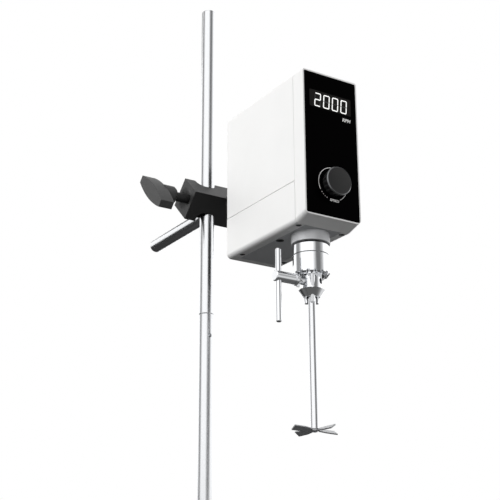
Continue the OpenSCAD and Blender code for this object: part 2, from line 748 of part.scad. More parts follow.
// Transformer, two capacitors and the board's spacers
module power_parts() color("#3b3d40") in_head() {
    translate([1 - power_w / 2, power_y0 + 2, power_z + board_t]) cube([20, 17, 16]);
    for (k = [0, 1]) translate([power_w / 2 - 5, power_y0 + 6 + 10.5 * k, power_z + board_t]) cylinder(r = 4.5, h = 16);
    for (p = power_holes) translate([p[0], p[1], chassis_top]) cylinder(r = 2.5, h = power_z - chassis_top);
}

/* Chassis, spindle and motor */

chassis_z = floor_z + wall;
chassis_top = chassis_z + chassis_t;
chassis_w = 54;
chassis_y0 = shell_y0 + 0.5;
chassis_y1 = cover_y - post_l - seam_gap;
plate_holes = [for (s = [-1, 1]) [s * 16.5, 67]];
pitch_g = gear_m * gear_teeth / 2;
pitch_p = gear_m * pinion_teeth / 2;
motor_y = spindle_y + pitch_g + pitch_p;
tube_r = bearing_od / 2 + 3;
flange_r = 23;
tube_top = 38;
bearing_lo = -shroud_drop + 5;
bearing_hi = tube_top - bearing_b - 2;
gear_z = tube_top + 3;
motor_plate_z = gear_z + gear_b + 6;
motor_z = motor_plate_z + motor_plate_t;
motor_post_r = 3.4;
motor_posts = [for (sx = [-1, 1], y = [chassis_y0 + 5, motor_y + motor_d / 2 + 4]) [sx * 23.4, y]];

module chassis_plate() color("#a4a7aa") in_head() difference() {
    translate([-chassis_w / 2, chassis_y0, chassis_z]) cube([chassis_w, chassis_y1 - chassis_y0, chassis_t]);
    translate([0, spindle_y, chassis_z - cut]) cylinder(r = shroud_r + run, h = chassis_t + 2 * cut);
    for (p = shell_holes) translate([p[0], p[1], chassis_z - cut]) cylinder(r = 1.5, h = chassis_t + cut - 1);
    for (p = plate_holes) translate([p[0], p[1], chassis_z - cut]) cylinder(r = 2.2, h = chassis_t + cut - 0.5);
}

module chassis_posts() color("#b4b7ba") in_head() for (p = motor_posts)
    translate([p[0], p[1], chassis_top]) cylinder(r = motor_post_r, h = motor_plate_z - chassis_top);

module motor_plate() color("#a4a7aa") in_head() difference() {
    translate([-chassis_w / 2, chassis_y0, motor_plate_z])
        cube([chassis_w, motor_y + motor_d / 2 + 9 - chassis_y0, motor_plate_t]);
    translate([0, motor_y, motor_plate_z - cut]) cylinder(r = motor_boss_r, h = motor_plate_t + 2 * cut);
}

module spindle_housing() color("#b9bcc0") on_spindle() difference() {
    union() {
        translate([0, 0, -shroud_drop]) cylinder(r = shroud_r, h = chassis_top + shroud_drop);
        translate([0, 0, chassis_top]) cylinder(r = flange_r, h = 4);
        translate([0, 0, chassis_top]) cylinder(r = tube_r, h = tube_top - chassis_top);
    }
    translate([0, 0, -shroud_drop - cut]) cylinder(d = bearing_od, h = bearing_b + 5 + cut);
    translate([0, 0, bearing_hi]) cylinder(d = bearing_od, h = tube_top - bearing_hi + cut);
    translate([0, 0, -shroud_drop]) cylinder(d = bearing_od - 5, h = tube_top + shroud_drop);
}

module spindle_seal() color("#202022") on_spindle() translate([0, 0, -shroud_drop + 1.2])
    ring(bearing_od / 2, spindle_d / 2 + run, 3.4);

ball_r = 2.2;
ball_n = 9;
ball_pitch = (spindle_d + bearing_od) / 4;
race_t = (bearing_od - spindle_d) / 6;

// Race of a ball bearing between radii r0 and r1, with the groove for its balls
module race(r0, r1) rotate_extrude() difference() {
    translate([r0, 0]) square([r1 - r0, bearing_b]);
    translate([ball_pitch, bearing_b / 2]) circle(ball_r + run);
}

module outer_bearing() {
    race(bearing_od / 2 - race_t, bearing_od / 2);
    for (k = [0 : ball_n - 1]) rotate(k * 360 / ball_n) translate([ball_pitch, 0, bearing_b / 2]) sphere(ball_r);
}

module lower_bearing() color("#c2c5c9") on_spindle() translate([0, 0, bearing_lo]) outer_bearing();
module upper_bearing() color("#c2c5c9") on_spindle() translate([0, 0, bearing_hi]) outer_bearing();

module bearing_races() color("#c2c5c9") on_spindle() for (z = [bearing_lo, bearing_hi])
    translate([0, 0, z]) race(spindle_d / 2, spindle_d / 2 + race_t);

chuck_top = -shroud_drop - chuck_gap;
spindle_in = 14;

module spindle() color("#b3b6ba") on_spindle()
    translate([0, 0, chuck_top - spindle_in]) cylinder(d = spindle_d, h = gear_z + gear_b + 3 - chuck_top + spindle_in);

// One involute flank from the root circle to the tip circle, as points
function flank(rb, r0, r1, shift, steps) = [for (i = [0 : steps])
    let (r = r0 + (r1 - r0) * i / steps, t = sqrt(max(pow(r / rb, 2) - 1, 0)), a = t * 180 / PI - atan(t) + shift)
    [r * cos(a), r * sin(a)]];

function mirror_back(points) = [for (i = [len(points) - 1 : -1 : 0]) [points[i][0], -points[i][1]]];
function turned(points, a) = [for (p = points) [p[0] * cos(a) - p[1] * sin(a), p[0] * sin(a) + p[1] * cos(a)]];

// Spur gear outline with a 20 degree pressure angle
module gear_outline(teeth, slack) {
    rp = gear_m * teeth / 2;
    rb = rp * cos(20);
    half = 90 / teeth - slack / 2 / rp * 180 / PI;
    shift = -half - (tan(20) * 180 / PI - 20);
    side = flank(rb, max(rb, rp - 1.15 * gear_m), rp + gear_m * 0.95, shift, 4);
    root = [for (a = [shift]) [(rp - 1.25 * gear_m) * cos(a), (rp - 1.25 * gear_m) * sin(a)]];
    tooth = concat(root, side, mirror_back(side), mirror_back(root));
    polygon([for (k = [0 : teeth - 1]) each turned(tooth, k * 360 / teeth)]);
}

module drive_gear() color("#e6e1d2") on_spindle() translate([0, 0, gear_z]) difference() {
    union() {
        linear_extrude(gear_b) gear_outline(gear_teeth, backlash / 2);
        translate([0, 0, -1.5]) cylinder(r = spindle_d / 2 + 4, h = gear_b + 3.5);
    }
    translate([0, 0, -2 - cut]) cylinder(d = spindle_d, h = gear_b + 4 + 2 * cut);
    for (k = [0 : 5]) rotate(k * 60) translate([pitch_g * 0.68, 0, -cut]) cylinder(r = 3, h = gear_b + 2 * cut);
}

// Moves a piece to the motor's axis, with Z as in the head's frame
module on_motor() in_head() translate([0, motor_y, 0]) children();

case_t = 2;
core_t = 12;
core_z = motor_z + 12;
rotor_r = motor_d / 2 - core_t;
rotor_h = motor_h - 24;
motor_boss_r = 11;
motor_cap_t = 4;
motor_cap_boss = 3;
motor_floor_t = 4;
motor_bearing_r = 8;
motor_bearing_b = 5;

module motor_case() color("#7b7e82") on_motor() translate([0, 0, motor_z]) difference() {
    union() {
        cylinder(d = motor_d, h = motor_h - motor_cap_t);
        translate([0, 0, -motor_plate_t]) cylinder(r = motor_boss_r - 2 * run, h = motor_plate_t + cut);
    }
    translate([0, 0, motor_floor_t]) cylinder(d = motor_d - 2 * case_t, h = motor_h);
    translate([0, 0, -motor_plate_t - cut]) cylinder(r = motor_bearing_r, h = motor_bearing_b + cut);
    translate([0, 0, -motor_plate_t - cut]) cylinder(r = motor_shaft_d / 2 + 0.5, h = motor_h);
}

module motor_cap() color("#7b7e82") on_motor() translate([0, 0, motor_z + motor_h - motor_cap_t]) difference() {
    cylinder(d = motor_d, h = motor_cap_t + motor_cap_boss);
    translate([0, 0, -cut]) cylinder(r = motor_bearing_r, h = motor_bearing_b + cut);
    translate([0, 0, -cut]) cylinder(r = motor_shaft_d / 2 + 0.5, h = motor_cap_t + 2 + cut);
}

module motor_bearings() color("#c2c5c9") on_motor() {
    for (z = [motor_z - motor_plate_t, motor_z + motor_h - motor_cap_t])
        translate([0, 0, z]) ring(motor_bearing_r, motor_shaft_d / 2 + run, motor_bearing_b);
}

stator_slots = 9;

module motor_stator() color("#9c6b3f") on_motor() translate([0, 0, core_z]) linear_extrude(rotor_h) difference() {
    circle(motor_d / 2 - case_t);
    circle(rotor_r + 0.6);
    for (k = [0 : stator_slots - 1]) rotate(k * 360 / stator_slots)
        translate([rotor_r + 1.8, -1.6]) square([motor_d / 2 - case_t - rotor_r - 4.4, 3.2]);
}

module motor_rotor() color("#54575b") on_motor() {
    translate([0, 0, core_z]) cylinder(r = rotor_r, h = rotor_h);
    translate([0, 0, gear_z - 1]) cylinder(d = motor_shaft_d, h = motor_z + motor_h + 1.5 - gear_z);
}

module motor_pinion() color("#c9b26a") on_motor() translate([0, 0, gear_z]) difference() {
    linear_extrude(gear_b) rotate(180 / pinion_teeth) gear_outline(pinion_teeth, backlash / 2);
    translate([0, 0, -cut]) cylinder(d = motor_shaft_d, h = gear_b + 2 * cut);
}

/* Chuck */

sleeve_top = chuck_top - ring_h - 0.3;
sleeve_low = sleeve_top - sleeve_h;
cone_top = sleeve_low - nose_h;
nose_low = cone_top - cone_h;
jaw_low = nose_low - jaw_out;
bore_r = shaft_d / 2 + 1.2;
crown_in = 14;
jaw_r = jaw_d / 2;
jaw_l = 27;
jaw_tip_rho = shaft_d / 2 + 0.8;

// Places a jaw's axis: leaning outwards as it goes up, at angle a round the chuck
module jaw_line(a) rotate(a) translate([jaw_tip_rho, 0, jaw_low]) rotate([0, jaw_lean, 0]) children();

module chuck_body() color("#cfd2d6") on_spindle() difference() {
    union() {
        translate([0, 0, chuck_top - ring_h]) rotate_extrude()
            polygon([[0, 0], [chuck_r - 0.4, 0], [chuck_r, 0.4], [chuck_r, ring_h - 0.8], [chuck_r - 0.8, ring_h], [0, ring_h]]);
        translate([0, 0, sleeve_low]) cylinder(r = core_r, h = chuck_top - ring_h - sleeve_low + 0.5);
        translate([0, 0, cone_top]) cylinder(r = nose_r, h = sleeve_low - cone_top + 0.5);
        translate([0, 0, nose_low]) rotate_extrude()
            polygon([[0, 0], [bore_r + 2.6, 0], [cone_r, cone_h - 0.6], [cone_r - 0.6, cone_h], [0, cone_h]]);
    }
    translate([0, 0, chuck_top - spindle_in]) cylinder(d = spindle_d, h = spindle_in + cut);
    translate([0, 0, nose_low - cut]) cylinder(r = bore_r, h = 34 + cut);
    for (a = [0, 120, 240]) jaw_line(a) cylinder(r = jaw_r + run, h = jaw_l + jaw_travel + 1);
    for (a = [60, 180, 300]) rotate(a) translate([0, 0, key_z]) rotate([0, 90, 0]) cylinder(r = key_pilot_r + run, h = nose_r + cut);
}

module chuck_sleeve() color("#d3d6da") on_spindle() difference() {
    translate([0, 0, sleeve_low]) rotate_extrude()
        polygon([[core_r + run, sleeve_h], [core_r + run, tooth_t + 0.2], [crown_in, tooth_t + 0.2], [crown_in + 0.2, 0],
            [chuck_r - 1.6, 0], [chuck_r, 1.6], [chuck_r, sleeve_h - 0.4], [chuck_r - 0.4, sleeve_h]]);
    for (k = [0 : sleeve_teeth - 1]) rotate(180 + k * 360 / sleeve_teeth)
        translate([crown_in - cut, 0, sleeve_low]) rotate([90, 0, 90]) linear_extrude(chuck_r)
            polygon([[-2.1, -cut], [2.1, -cut], [1.5, tooth_t], [-1.5, tooth_t]]);
}

module jaw(a) color("#c4c7cb") on_spindle() difference() {
    jaw_line(a) cylinder(r = jaw_r, h = jaw_l);
    rotate(a) translate([-20 + shaft_d / 2 + 0.03, -10, jaw_low - 2]) cube([20, 20, jaw_l + 6]);
    rotate(a) translate([0, -10, jaw_low - 10]) cube([20, 20, 10]);
}

module chuck_jaw_1() jaw(0);
module chuck_jaw_2() jaw(120);
module chuck_jaw_3() jaw(240);

/* Chuck key, lying along -X from the chuck */

key_z = sleeve_low - key_drop;
key_pilot_r = 2.9;
key_pilot_in = 6;
key_gear_x = 14.2;
key_gear_l = 3.6;
key_collar_l = 2.4;
key_neck_r = 4.1;
key_collar_r = key_shank_r + 0.9;
key_edge = 0.8;

// Turned profile of the key: pilot, neck, toothed part, collar and shank, with the distance from the chuck as Z
module key_turned() {
    neck_x = nose_r + 0.4;
    collar_x = key_gear_x + key_gear_l;
    shank_x = collar_x + key_collar_l;
    rotate_extrude() polygon([[0, key_pilot_in], [key_pilot_r, key_pilot_in], [key_pilot_r, neck_x], [key_neck_r, neck_x],
        [key_neck_r, collar_x], [key_collar_r, collar_x], [key_collar_r, shank_x], [key_shank_r, shank_x],
        [key_shank_r, key_reach - key_edge], [key_shank_r - key_edge, key_reach], [0, key_reach]]);
}

module key_tooth() {
    polygon([[key_neck_r - 1, -1.4], [4.6, -1.2], [key_tip_r, -0.6], [key_tip_r, 0.6], [4.6, 1.2], [key_neck_r - 1, 1.4]]);
}

module chuck_key() color("#d9dbde") on_spindle() translate([0, 0, key_z]) rotate([0, -90, 0]) difference() {
    union() {
        key_turned();
        for (k = [0 : key_teeth - 1]) rotate(k * 360 / key_teeth)
            translate([0, 0, key_gear_x]) linear_extrude(key_gear_l) key_tooth();
    }
    translate([0, 0, bar_reach]) rotate([0, 90, 0]) cylinder(d = bar_d + 2 * run, h = 30, center = true);
}

module key_bar() color("#c6c9cd") on_spindle()
    translate([-bar_reach, 0, key_z + bar_up - bar_l]) bar(bar_d, bar_l, 0.8);

/* Stirring shaft and propeller */

shaft_in = 28;
// Middle of the propeller, which the shaft's riveted end carries
disc_r = shaft_d / 2 + 0.5;
rivet_r = shaft_d / 4;
rivet_head_r = rivet_r + 1.2;
root_w = 3.4;
seat = 0.02;

module stirring_shaft() color("#d3d6da") on_spindle() translate([0, 0, -prop_drop]) {
    translate([0, 0, blade_t / 2]) bar(shaft_d, nose_low + shaft_in + prop_drop - blade_t / 2, 0.5);
    translate([0, 0, -blade_t / 2 - cut]) cylinder(r = rivet_r, h = blade_t + 1);
    translate([0, 0, -blade_t / 2 - rivet_h]) cylinder(r1 = rivet_head_r - 0.8, r2 = rivet_head_r, h = rivet_h);
}

// Blade outline: a narrow root at the middle disc, full width from the shoulder to the square tip
module blade_outline() polygon([[disc_r - 0.4, -root_w / 2], [blade_shoulder, -blade_w * 0.46], [prop_d / 2, -blade_w / 2],
    [prop_d / 2, blade_w / 2], [blade_shoulder, blade_w * 0.46], [disc_r - 0.4, root_w / 2]]);

module propeller() color("#8b8d90") on_spindle() translate([0, 0, -prop_drop]) difference() {
    union() {
        translate([0, 0, -blade_t / 2]) cylinder(r = disc_r, h = blade_t);
        for (k = [0 : 3]) rotate(blade_turn + 90 * k) rotate([blade_pitch, 0, 0])
            translate([0, 0, -blade_t / 2]) linear_extrude(blade_t) blade_outline();
    }
    translate([0, 0, -blade_t]) cylinder(r = rivet_r + seat, h = 2 * blade_t);
}

base_mat();
base_plate();
base_screw();
lower_rod();
upper_rod();
clamp_body();
rod_clamp_screw();
rod_wing_knob();
rod_pad();
support_clamp_screw();
support_wing_knob();
support_pad();
support_rod();
rod_bolt();
rod_socket();
front_bezel();
front_panel();
display_window();
display_module();
control_board();
board_screws();
speed_pot();
speed_pot_shaft();
speed_knob();
upper_shell();
lower_shell();
bottom_plate();
rear_cover();
shell_screws();
cover_screws();
power_inlet();
switch_frame();
switch_rocker();
power_board();
power_parts();
chassis_plate();
chassis_posts();
motor_plate();
spindle_housing();
spindle_seal();
lower_bearing();
upper_bearing();
bearing_races();
spindle();
drive_gear();
motor_case();
motor_cap();
motor_stator();
motor_bearings();
motor_rotor();
motor_pinion();
chuck_body();
chuck_sleeve();
chuck_jaw_1();
chuck_jaw_2();
chuck_jaw_3();
chuck_key();
key_bar();
stirring_shaft();
propeller();
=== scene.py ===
"""Overhead stirrer on a rod stand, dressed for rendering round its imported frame."""

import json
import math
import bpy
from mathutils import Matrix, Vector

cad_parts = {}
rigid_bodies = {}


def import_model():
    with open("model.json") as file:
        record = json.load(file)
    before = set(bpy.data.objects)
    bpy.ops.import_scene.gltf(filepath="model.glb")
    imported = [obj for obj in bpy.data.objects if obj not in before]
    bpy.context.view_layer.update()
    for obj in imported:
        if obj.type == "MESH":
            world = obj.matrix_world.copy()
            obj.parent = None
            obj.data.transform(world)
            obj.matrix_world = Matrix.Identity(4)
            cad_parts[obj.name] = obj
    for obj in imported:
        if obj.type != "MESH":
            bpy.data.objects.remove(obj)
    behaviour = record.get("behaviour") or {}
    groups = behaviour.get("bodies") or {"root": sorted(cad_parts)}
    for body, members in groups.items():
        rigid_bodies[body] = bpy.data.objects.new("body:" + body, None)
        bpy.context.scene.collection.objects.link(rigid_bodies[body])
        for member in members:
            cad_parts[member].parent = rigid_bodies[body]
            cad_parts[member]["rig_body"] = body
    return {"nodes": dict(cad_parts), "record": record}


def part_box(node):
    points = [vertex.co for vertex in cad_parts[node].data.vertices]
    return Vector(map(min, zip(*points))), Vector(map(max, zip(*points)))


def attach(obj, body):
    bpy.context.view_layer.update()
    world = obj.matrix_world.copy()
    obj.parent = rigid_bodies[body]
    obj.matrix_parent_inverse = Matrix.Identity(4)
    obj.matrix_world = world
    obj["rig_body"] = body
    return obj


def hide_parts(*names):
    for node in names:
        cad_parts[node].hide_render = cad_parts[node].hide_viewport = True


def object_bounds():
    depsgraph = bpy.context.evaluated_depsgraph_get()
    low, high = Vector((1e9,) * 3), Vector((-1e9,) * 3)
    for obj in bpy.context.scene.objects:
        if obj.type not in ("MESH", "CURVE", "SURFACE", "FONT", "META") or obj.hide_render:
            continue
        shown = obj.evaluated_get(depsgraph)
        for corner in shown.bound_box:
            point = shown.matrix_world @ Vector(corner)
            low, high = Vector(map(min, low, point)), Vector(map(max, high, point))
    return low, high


bl_info = {
    "name": "Overhead stirrer",
    "version": (1, 0, 0),
    "blender": (4, 5, 0),
    "location": "3D View > Sidebar > Stirrer",
    "description": "Models and finishes a laboratory overhead stirrer on a rod stand",
    "category": "Object",
}

import bmesh
import bpy
from mathutils import Matrix, Vector

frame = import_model()
CAD_BOX = [list(corner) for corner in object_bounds()]

MM = 0.001
# Shading breaks where two faces meet at more than this
SMOOTH_ANGLE = math.radians(32)
# Materials made so far, by name
FINISHES = {}


def middle(node):
    """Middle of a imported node's box."""
    low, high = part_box(node)
    return (low + high) / 2


PANEL_LOW, PANEL_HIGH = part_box("front_panel")
PANEL_X = (PANEL_LOW.x + PANEL_HIGH.x) / 2
PANEL_FRONT = PANEL_LOW.y
SPINDLE = middle("spindle")
KNOB_LOW, KNOB_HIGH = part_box("speed_knob")
KNOB_AXIS = middle("speed_knob")
BLADE_T = 1.2 * MM


# Sizes and colours that a user would change


def srgb(hex_colour):
    """Red, green and blue of a hex colour, from 0 to 1."""
    return [int(hex_colour[i:i + 2], 16) / 255 for i in (1, 3, 5)]


def swatch(name, description, hex_colour):
    """A colour property that starts from a hex colour."""
    return bpy.props.FloatVectorProperty(name=name, description=description, default=srgb(hex_colour),
                                         subtype="COLOR_GAMMA", size=3, min=0, max=1)


class StirrerSizes(bpy.types.PropertyGroup):
    edge: bpy.props.FloatProperty(
        name="Edge rounding", description="Rounding of moulded and machined edges", default=0.35 * MM, unit="LENGTH")
    cast_edge: bpy.props.FloatProperty(
        name="Cast edge rounding", description="Rounding of the clamp's and wing screws' edges", default=0.9 * MM,
        unit="LENGTH")
    print_height: bpy.props.FloatProperty(
        name="Print thickness", description="Thickness of the printed marks", default=0.08 * MM, unit="LENGTH")
    digit_height: bpy.props.FloatProperty(
        name="Digit height", description="Height of the display's digits", default=14.6 * MM, unit="LENGTH")
    ring_radius: bpy.props.FloatProperty(
        name="Dial ring radius", description="Radius of the printed ring round the knob", default=16.6 * MM,
        unit="LENGTH")
    knurl_ridges: bpy.props.IntProperty(
        name="Knurl ridges", description="Ridges of the fine grip band on the chuck's sleeve", default=110)


class StirrerColours(bpy.types.PropertyGroup):
    housing: swatch("Housing", "Moulded housing", "#F3F3F2")
    panel: swatch("Panel", "Front panel foil", "#050405")
    window: swatch("Window", "Smoked display window", "#1D1B1A")
    marks: swatch("Marks", "Printed marks and lit digits", "#F6F6F4")
    knob: swatch("Knob", "Speed knob", "#1F1F1F")
    clamp: swatch("Clamp", "Coated clamp body", "#2B2B2B")
    wings: swatch("Wing screws", "Moulded wing screws", "#373737")


def sizes():
    return bpy.context.scene.stirrer_sizes


def colours():
    return bpy.context.scene.stirrer_colours


# Colours and shader nodes


def shade(colour, *steps):
    """A colour made lighter, or darker where a step is negative, by so many 255ths: one step for all, or one each for
    red, green and blue."""
    each = steps if len(steps) == 3 else steps * 3
    return [min(max(part + step / 255, 0), 1) for part, step in zip(colour, each)]


def linear(colour):
    """Linear RGBA of an sRGB colour, given as hex or as red, green and blue from 0 to 1."""
    parts = srgb(colour) if isinstance(colour, str) else colour
    return [c / 12.92 if c <= 0.04045 else ((c + 0.055) / 1.055) ** 2.4 for c in parts] + [1.0]


def add_node(material, kind, settings=None, links=None):
    """Adds a node; settings go to its sockets or its own properties, links give each socket's source."""
    node = material.node_tree.nodes.new(kind)
    for name, value in (settings or {}).items():
        if name in node.inputs:
            node.inputs[name].default_value = value
        else:
            setattr(node, name, value)
    for name, source in (links or {}).items():
        material.node_tree.links.new(source, node.inputs[name])
    return node


def start_material(name, colour, roughness, metallic=0.0, ior=1.5):
    """A material with a plain shader; gives the material, its shader and the object coordinates."""
    material = bpy.data.materials.new(name)
    material.use_nodes = True
    shader = material.node_tree.nodes["Principled BSDF"]
    shader.inputs["Base Color"].default_value = linear(colour)
    shader.inputs["Roughness"].default_value = roughness
    shader.inputs["Metallic"].default_value = metallic
    shader.inputs["IOR"].default_value = ior
    material.diffuse_color = linear(colour)
    coords = add_node(material, "ShaderNodeTexCoord").outputs["Object"]
    return material, shader, coords


def tint(material, shader, fac, first, second):
    """Runs the base colour from one colour to another with a pattern."""
    mix = add_node(material, "ShaderNodeMix", {"data_type": "RGBA"}, {"Factor": fac})
    mix.inputs["A"].default_value = linear(first)
    mix.inputs["B"].default_value = linear(second)
    material.node_tree.links.new(mix.outputs["Result"], shader.inputs["Base Color"])


def vary_roughness(material, shader, fac, low, high):
    """Runs the roughness between two values with a pattern."""
    spread = add_node(material, "ShaderNodeMapRange", {"To Min": low, "To Max": high}, {"Value": fac})
    material.node_tree.links.new(spread.outputs["Result"], shader.inputs["Roughness"])


def grain(material, shader, coords, size, depth, stretch=(1, 1, 1), detail=2.0):
    """Bumps the surface with grain of a real size and depth in metres; stretch lengthens it along X, Y or Z."""
    mapping = add_node(material, "ShaderNodeMapping", {"Scale": [1 / s for s in stretch]}, {"Vector": coords})
    noise = add_node(material, "ShaderNodeTexNoise", {"Scale": 1 / size, "Detail": detail, "Roughness": 0.55},
                     {"Vector": mapping.outputs["Vector"]})
    bump = add_node(material, "ShaderNodeBump", {"Strength": 1.0, "Distance": depth},
                    {"Height": noise.outputs["Fac"]})
    material.node_tree.links.new(bump.outputs["Normal"], shader.inputs["Normal"])
    return noise.outputs["Fac"]


# Finishes


def moulded_abs():
    """White ABS, moulded with a fine spark-eroded grain: a broad, soft highlight and hardly any gloss."""
    material, shader, coords = start_material("moulded_white_abs", colours().housing, 0.42, ior=1.53)
    # the real grain is about 0.15 mm; drawn at 0.5 mm so that it shows
    fac = grain(material, shader, coords, size=0.5 * MM, depth=0.006 * MM)
    clouds = add_node(material, "ShaderNodeTexNoise", {"Scale": 1 / (40 * MM), "Detail": 3.0}, {"Vector": coords})
    tint(material, shader, clouds.outputs["Fac"], shade(colours().housing, -4), shade(colours().housing, 3))
    vary_roughness(material, shader, fac, 0.36, 0.5)
    return material


def panel_foil():
    """Back-printed polyester foil, satin: deep black with a low sheen."""
    material, shader, coords = start_material("black_polyester_foil", colours().panel, 0.3, ior=1.45)
    shader.inputs["Specular IOR Level"].default_value = 0.008
    # the foil's texture is about 0.1 mm; drawn at 0.4 mm so that it shows
    fac = grain(material, shader, coords, size=0.4 * MM, depth=0.001 * MM)
    vary_roughness(material, shader, fac, 0.2, 0.3)
    tint(material, shader, fac, shade(colours().panel, -3), shade(colours().panel, -2, -1, -2))
    return material


def smoked_acrylic():
    """Smoked acrylic window: dark, smooth and a little lighter than the foil round it."""
    material, shader, coords = start_material("smoked_acrylic", colours().window, 0.16, ior=1.49)
    shader.inputs["Specular IOR Level"].default_value = 0.08
    clouds = add_node(material, "ShaderNodeTexNoise", {"Scale": 1 / (12 * MM), "Detail": 2.0}, {"Vector": coords})
    tint(material, shader, clouds.outputs["Fac"], shade(colours().window, -2), shade(colours().window, 3, 3, 2))
    vary_roughness(material, shader, clouds.outputs["Fac"], 0.14, 0.2)
    return material


def white_ink():
    """Screen-printed white ink: matt, with a faint uneven cover."""
    material, shader, coords = start_material("white_screen_ink", colours().marks, 0.6)
    fac = grain(material, shader, coords, size=0.3 * MM, depth=0.002 * MM)
    tint(material, shader, fac, shade(colours().marks, -9), shade(colours().marks, 2))
    return material


def lit_segment():
    """Lit display segment behind its diffuser: an even white that glows a little."""
    material, shader, coords = start_material("lit_segment", colours().marks, 0.5)
    shader.inputs["Emission Color"].default_value = linear(colours().marks)
    shader.inputs["Emission Strength"].default_value = 0.6
    fac = grain(material, shader, coords, size=0.5 * MM, depth=0.001 * MM)
    tint(material, shader, fac, shade(colours().marks, -4), shade(colours().marks, 4))
    return material


def dark_segment():
    """Segment that isn't lit: nearly black under the window."""
    material, shader, coords = start_material("dark_segment", "#0C0B0B", 0.4)
    fac = grain(material, shader, coords, size=0.5 * MM, depth=0.001 * MM)
    tint(material, shader, fac, "#0B0A0A", "#121111")
    return material


def knob_abs():
    """Dark ABS, moulded and satin: a soft highlight along the flutes."""
    material, shader, coords = start_material("satin_knob_abs", colours().knob, 0.38, ior=1.53)
    fac = grain(material, shader, coords, size=0.5 * MM, depth=0.004 * MM)
    tint(material, shader, fac, shade(colours().knob, -3), shade(colours().knob, 4))
    vary_roughness(material, shader, fac, 0.34, 0.44)
    return material


def brushed_face():
    """Brushed and black anodised insert of the knob: dull black with level brush lines."""
    material, shader, coords = start_material("brushed_black_anodising", colours().knob, 0.5, ior=1.5)
    shader.inputs["Specular IOR Level"].default_value = 0.25
    # brush lines are about 0.1 mm apart; drawn at 0.7 mm so that they show
    fac = grain(material, shader, coords, size=0.7 * MM, depth=0.012 * MM, stretch=(30, 1, 1))
    tint(material, shader, fac, shade(colours().knob, -6), shade(colours().knob, 8))
    vary_roughness(material, shader, fac, 0.42, 0.6)
    return material


def cut_rim():
    """Diamond-cut aluminium edge of the knob's insert: narrow and bright where it faces a lamp."""
    material, shader, coords = start_material("diamond_cut_aluminium", "#6E6F71", 0.24, metallic=1.0)
    fac = grain(material, shader, coords, size=0.4 * MM, depth=0.001 * MM)
    tint(material, shader, fac, "#676869", "#757678")
    vary_roughness(material, shader, fac, 0.16, 0.26)
    return material


def coated_casting():
    """Die-cast zinc under black powder coat: a slight orange peel and dull highlights."""
    material, shader, coords = start_material("black_coated_casting", colours().clamp, 0.5, ior=1.5)
    shader.inputs["Specular IOR Level"].default_value = 0.32
    fac = grain(material, shader, coords, size=1.1 * MM, depth=0.035 * MM, detail=3.0)
    tint(material, shader, fac, shade(colours().clamp, -7), shade(colours().clamp, 5))
    vary_roughness(material, shader, fac, 0.42, 0.58)
    return material


def base_coat():
    """Steel plate under hammered grey-black powder coat."""
    material, shader, coords = start_material("powder_coated_plate", "#2E2F31", 0.5)
    cells = add_node(material, "ShaderNodeTexVoronoi", {"Scale": 1 / (2.2 * MM)}, {"Vector": coords})
    bump = add_node(material, "ShaderNodeBump", {"Strength": 0.8, "Distance": 0.06 * MM},
                    {"Height": cells.outputs["Distance"]})
    material.node_tree.links.new(bump.outputs["Normal"], shader.inputs["Normal"])
    tint(material, shader, cells.outputs["Distance"], "#28292B", "#37383A")
    vary_roughness(material, shader, cells.outputs["Distance"], 0.4, 0.6)
    return material


def moulded_nylon():
    """Black glass-filled nylon: dead matt with a mottled grey cast."""
    material, shader, coords = start_material("moulded_black_nylon", colours().wings, 0.62, ior=1.53)
    fac = grain(material, shader, coords, size=0.7 * MM, depth=0.02 * MM, detail=3.0)
    tint(material, shader, fac, shade(colours().wings, -7), shade(colours().wings, 6))
    vary_roughness(material, shader, fac, 0.55, 0.72)
    return material


def black_plastic():
    """Black moulded plastic of inlet, switch and rear cover: fine erosion grain."""
    material, shader, coords = start_material("moulded_black_plastic", "#232425", 0.5, ior=1.53)
    fac = grain(material, shader, coords, size=0.6 * MM, depth=0.012 * MM)
    tint(material, shader, fac, "#1F2021", "#29292B")
    vary_roughness(material, shader, fac, 0.42, 0.58)
    return material


def ground_rod():
    """Stainless bar, centreless ground and satin: fine scratches round it blur the bright bands along it."""
    material, shader, coords = start_material("ground_stainless_rod", "#D4D5D7", 0.22, metallic=1.0)
    # grinding marks run round the rod, under 0.1 mm apart; drawn 0.36 mm apart so that they show
    fac = grain(material, shader, coords, size=0.9 * MM, depth=0.0004 * MM, stretch=(6, 6, 0.4))
    vary_roughness(material, shader, fac, 0.18, 0.27)
    tint(material, shader, fac, "#CDCED0", "#DADBDD")
    return material


def polished_shaft():
    """Stainless shaft, ground and polished: sharper bands than on the stand's rods."""
    material, shader, coords = start_material("polished_stainless_shaft", "#D4D5D7", 0.14, metallic=1.0)
    fac = grain(material, shader, coords, size=0.7 * MM, depth=0.0004 * MM, stretch=(6, 6, 0.4))
    vary_roughness(material, shader, fac, 0.1, 0.18)
    tint(material, shader, fac, "#CDCED0", "#DADBDD")
    return material


def polished_chrome():
    """Hard chrome on ground steel: mirror bright with the faintest turning marks."""
    material, shader, coords = start_material("polished_chrome", "#DCDDDF", 0.07, metallic=1.0)
    fac = grain(material, shader, coords, size=0.6 * MM, depth=0.0008 * MM, stretch=(6, 6, 0.5))
    vary_roughness(material, shader, fac, 0.05, 0.12)
    tint(material, shader, fac, "#D6D7D9", "#E2E3E5")
    return material


def satin_shroud():
    """Turned aluminium, bead blasted and anodised: a soft light grey without sharp reflections."""
    material, shader, coords = start_material("satin_anodised_aluminium", "#C3C4C6", 0.55, metallic=0.3)
    fac = grain(material, shader, coords, size=0.35 * MM, depth=0.006 * MM)
    vary_roughness(material, shader, fac, 0.36, 0.5)
    tint(material, shader, fac, "#BEBFC1", "#C8C9CB")
    return material


